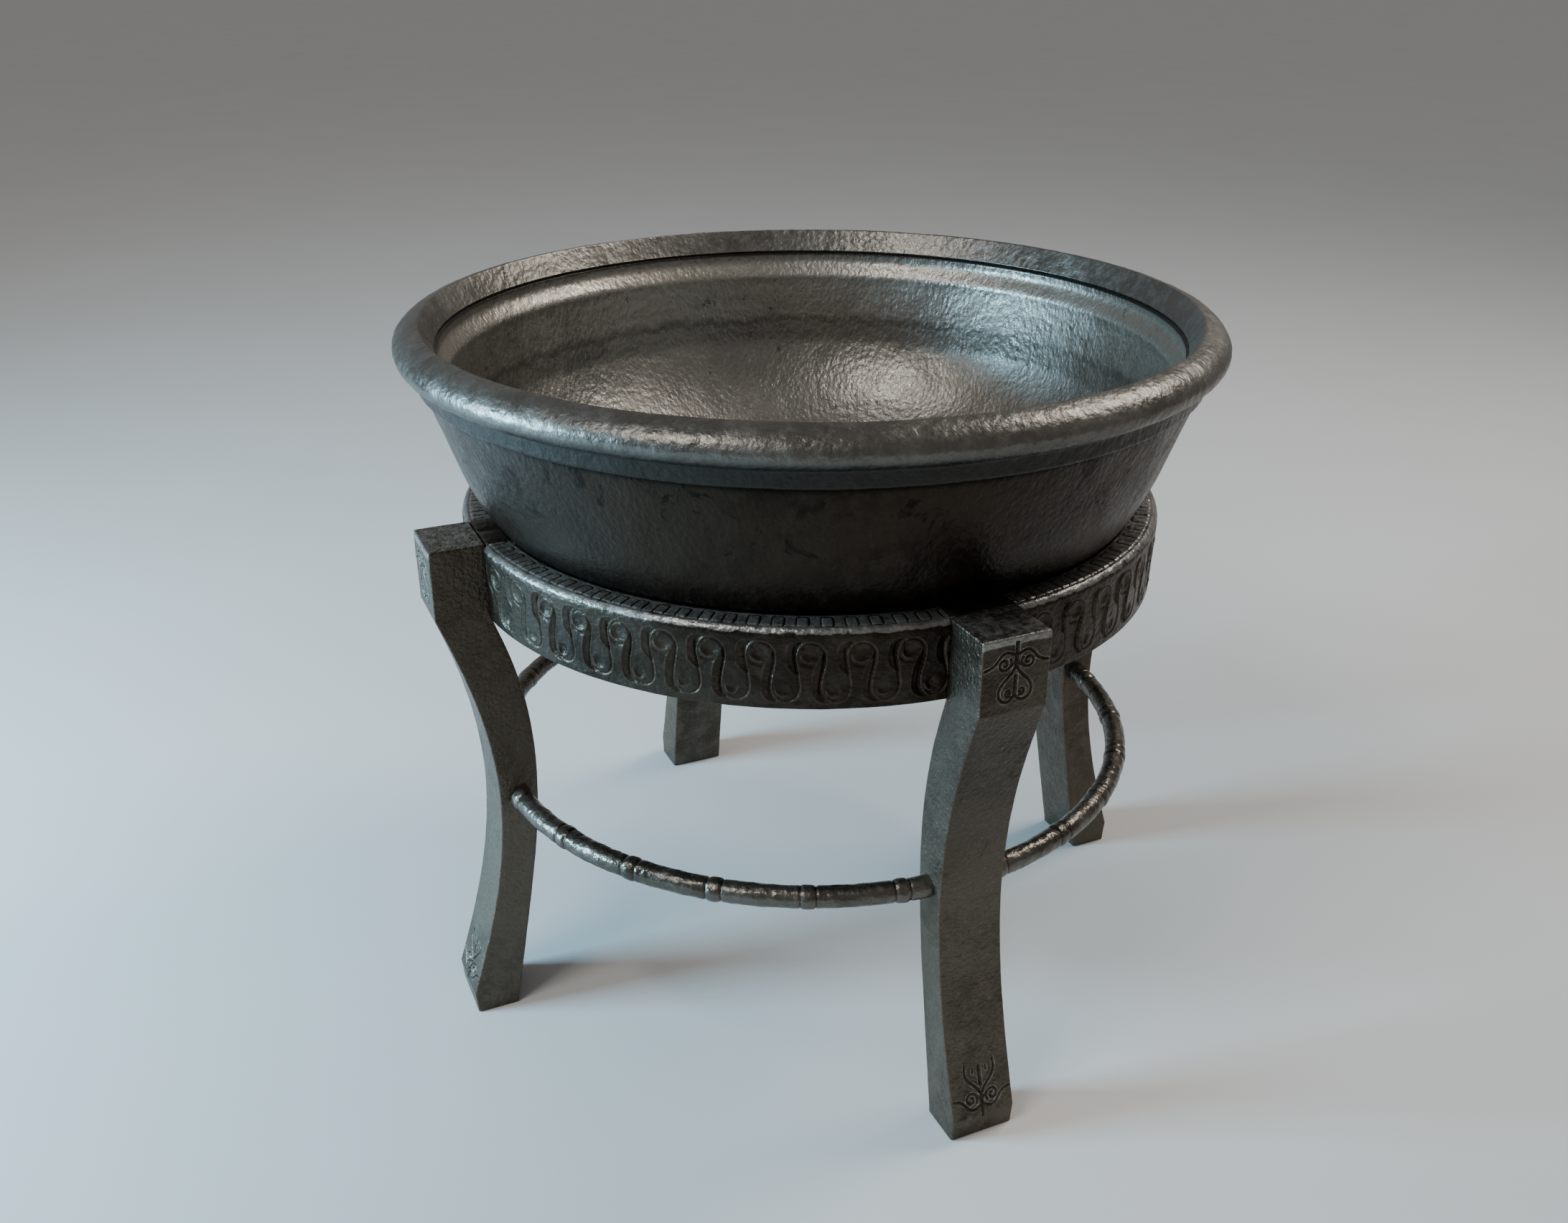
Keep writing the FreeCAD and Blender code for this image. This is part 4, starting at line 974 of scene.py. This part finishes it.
# ---- design nodes that stay
def dress(node, material, softened):
    """Gives a design node its material, and rounds its edges with modifiers that leave its mesh alone."""
    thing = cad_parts[node]
    thing.data.materials.clear()
    thing.data.materials.append(material)
    weld = thing.modifiers.new("weld", "WELD")
    weld.merge_threshold = 0.01 * MM
    bevel = thing.modifiers.new("bevel", "BEVEL")
    bevel.width = softened
    bevel.segments = 2
    bevel.limit_method = "ANGLE"
    bevel.angle_limit = math.radians(40)
    bevel.harden_normals = False


# ---- room, lights, camera
CAMERA_AZIMUTH = math.radians(19.73)
CAMERA_AIM = math.radians(20.75)
CAMERA_PITCH = math.radians(25.19)
CAMERA_OUT = 3.578 * RIM_RADIUS
CAMERA_UP = 2.631 * RIM_RADIUS
CAMERA_LENS = 33.91


def make_floor():
    """Wide level square of pale, faintly mottled plaster just under the feet."""
    mesh = bpy.data.meshes.new("floor")
    reach = 80.0
    level = -0.3 * MM
    corners = [(-reach, -reach, level), (reach, -reach, level), (reach, reach, level), (-reach, reach, level)]
    mesh.from_pydata(corners, [], [(0, 1, 2, 3)])
    paint = Paint("pale_floor")
    paint.feed(paint.shader.inputs["Base Color"],
               paint.blend(paint.noise(3, detail=5), (0.66, 0.66, 0.655, 1), (0.72, 0.72, 0.715, 1)))
    paint.shader.inputs["Roughness"].default_value = 0.9
    mesh.materials.append(paint.material)
    floor = bpy.data.objects.new("floor", mesh)
    bpy.context.scene.collection.objects.link(floor)


def soft_light(name, place, size, power, tint):
    """Square lamp at a place, facing the middle of the bowl."""
    lamp = bpy.data.lights.new(name, "AREA")
    lamp.shape = "SQUARE"
    lamp.size = size
    lamp.energy = power
    lamp.color = tint
    thing = bpy.data.objects.new(name, lamp)
    target = np.array([0, 0, RING_TOP])
    thing.location = place
    way = Vector(target - np.array(place))
    thing.rotation_euler = way.to_track_quat("-Z", "Y").to_euler()
    bpy.context.scene.collection.objects.link(thing)


def make_room():
    """Pale surroundings and three soft lamps: high at the back right, cool at the left, and one to fill."""
    world = bpy.data.worlds.new("studio")
    world.use_nodes = True
    background = world.node_tree.nodes["Background"]
    background.inputs["Color"].default_value = (0.9, 0.875, 0.84, 1)
    background.inputs["Strength"].default_value = 0.3
    bpy.context.scene.world = world
    soft_light("key", (1.3, 1.4, 2.4), 1.0, 40, (1.0, 0.94, 0.86))
    soft_light("cool", (-1.9, -1.2, 0.8), 0.7, 115, (0.42, 0.76, 1.0))
    soft_light("fill", (-0.9, -2.0, 3.0), 1.2, 42, (1.0, 0.95, 0.9))


def make_camera():
    """Camera on the measured azimuth, height and pitch, looking a little to the left of the bowl's middle."""
    camera = bpy.data.cameras.new("camera")
    camera.sensor_width = 36
    camera.lens = CAMERA_LENS
    thing = bpy.data.objects.new("camera", camera)
    thing.location = (CAMERA_OUT * math.sin(CAMERA_AZIMUTH), -CAMERA_OUT * math.cos(CAMERA_AZIMUTH),
                      CAMERA_UP)
    thing.rotation_euler = (math.pi / 2 - CAMERA_PITCH, 0, CAMERA_AIM)
    bpy.context.scene.collection.objects.link(thing)
    bpy.context.scene.camera = thing


make_camera()
make_bowl()
make_rim()
for quarter_name, quarter_middle in SIDE_ANGLES.items():
    make_ring_quarter(quarter_name, quarter_middle)
    make_bar(quarter_name, quarter_middle - 45)
for leg_name, leg_angle in LEG_ANGLES.items():
    make_leg(leg_name, leg_angle)
dress("air_pot", POT_IRON, 1.0 * MM)
dress("fire_grate", GRATE_IRON, 0.8 * MM)
dress("ash_gate", GATE_STEEL, 0.6 * MM)
dress("tenon_pins", LEG_IRON, 0.3 * MM)
for small in ("leg_screws", "flange_bolts", "flange_nuts", "gate_pivot_bolt", "gate_pivot_nut"):
    dress(small, SCREW_STEEL, 0.3 * MM)
make_floor()
make_room()
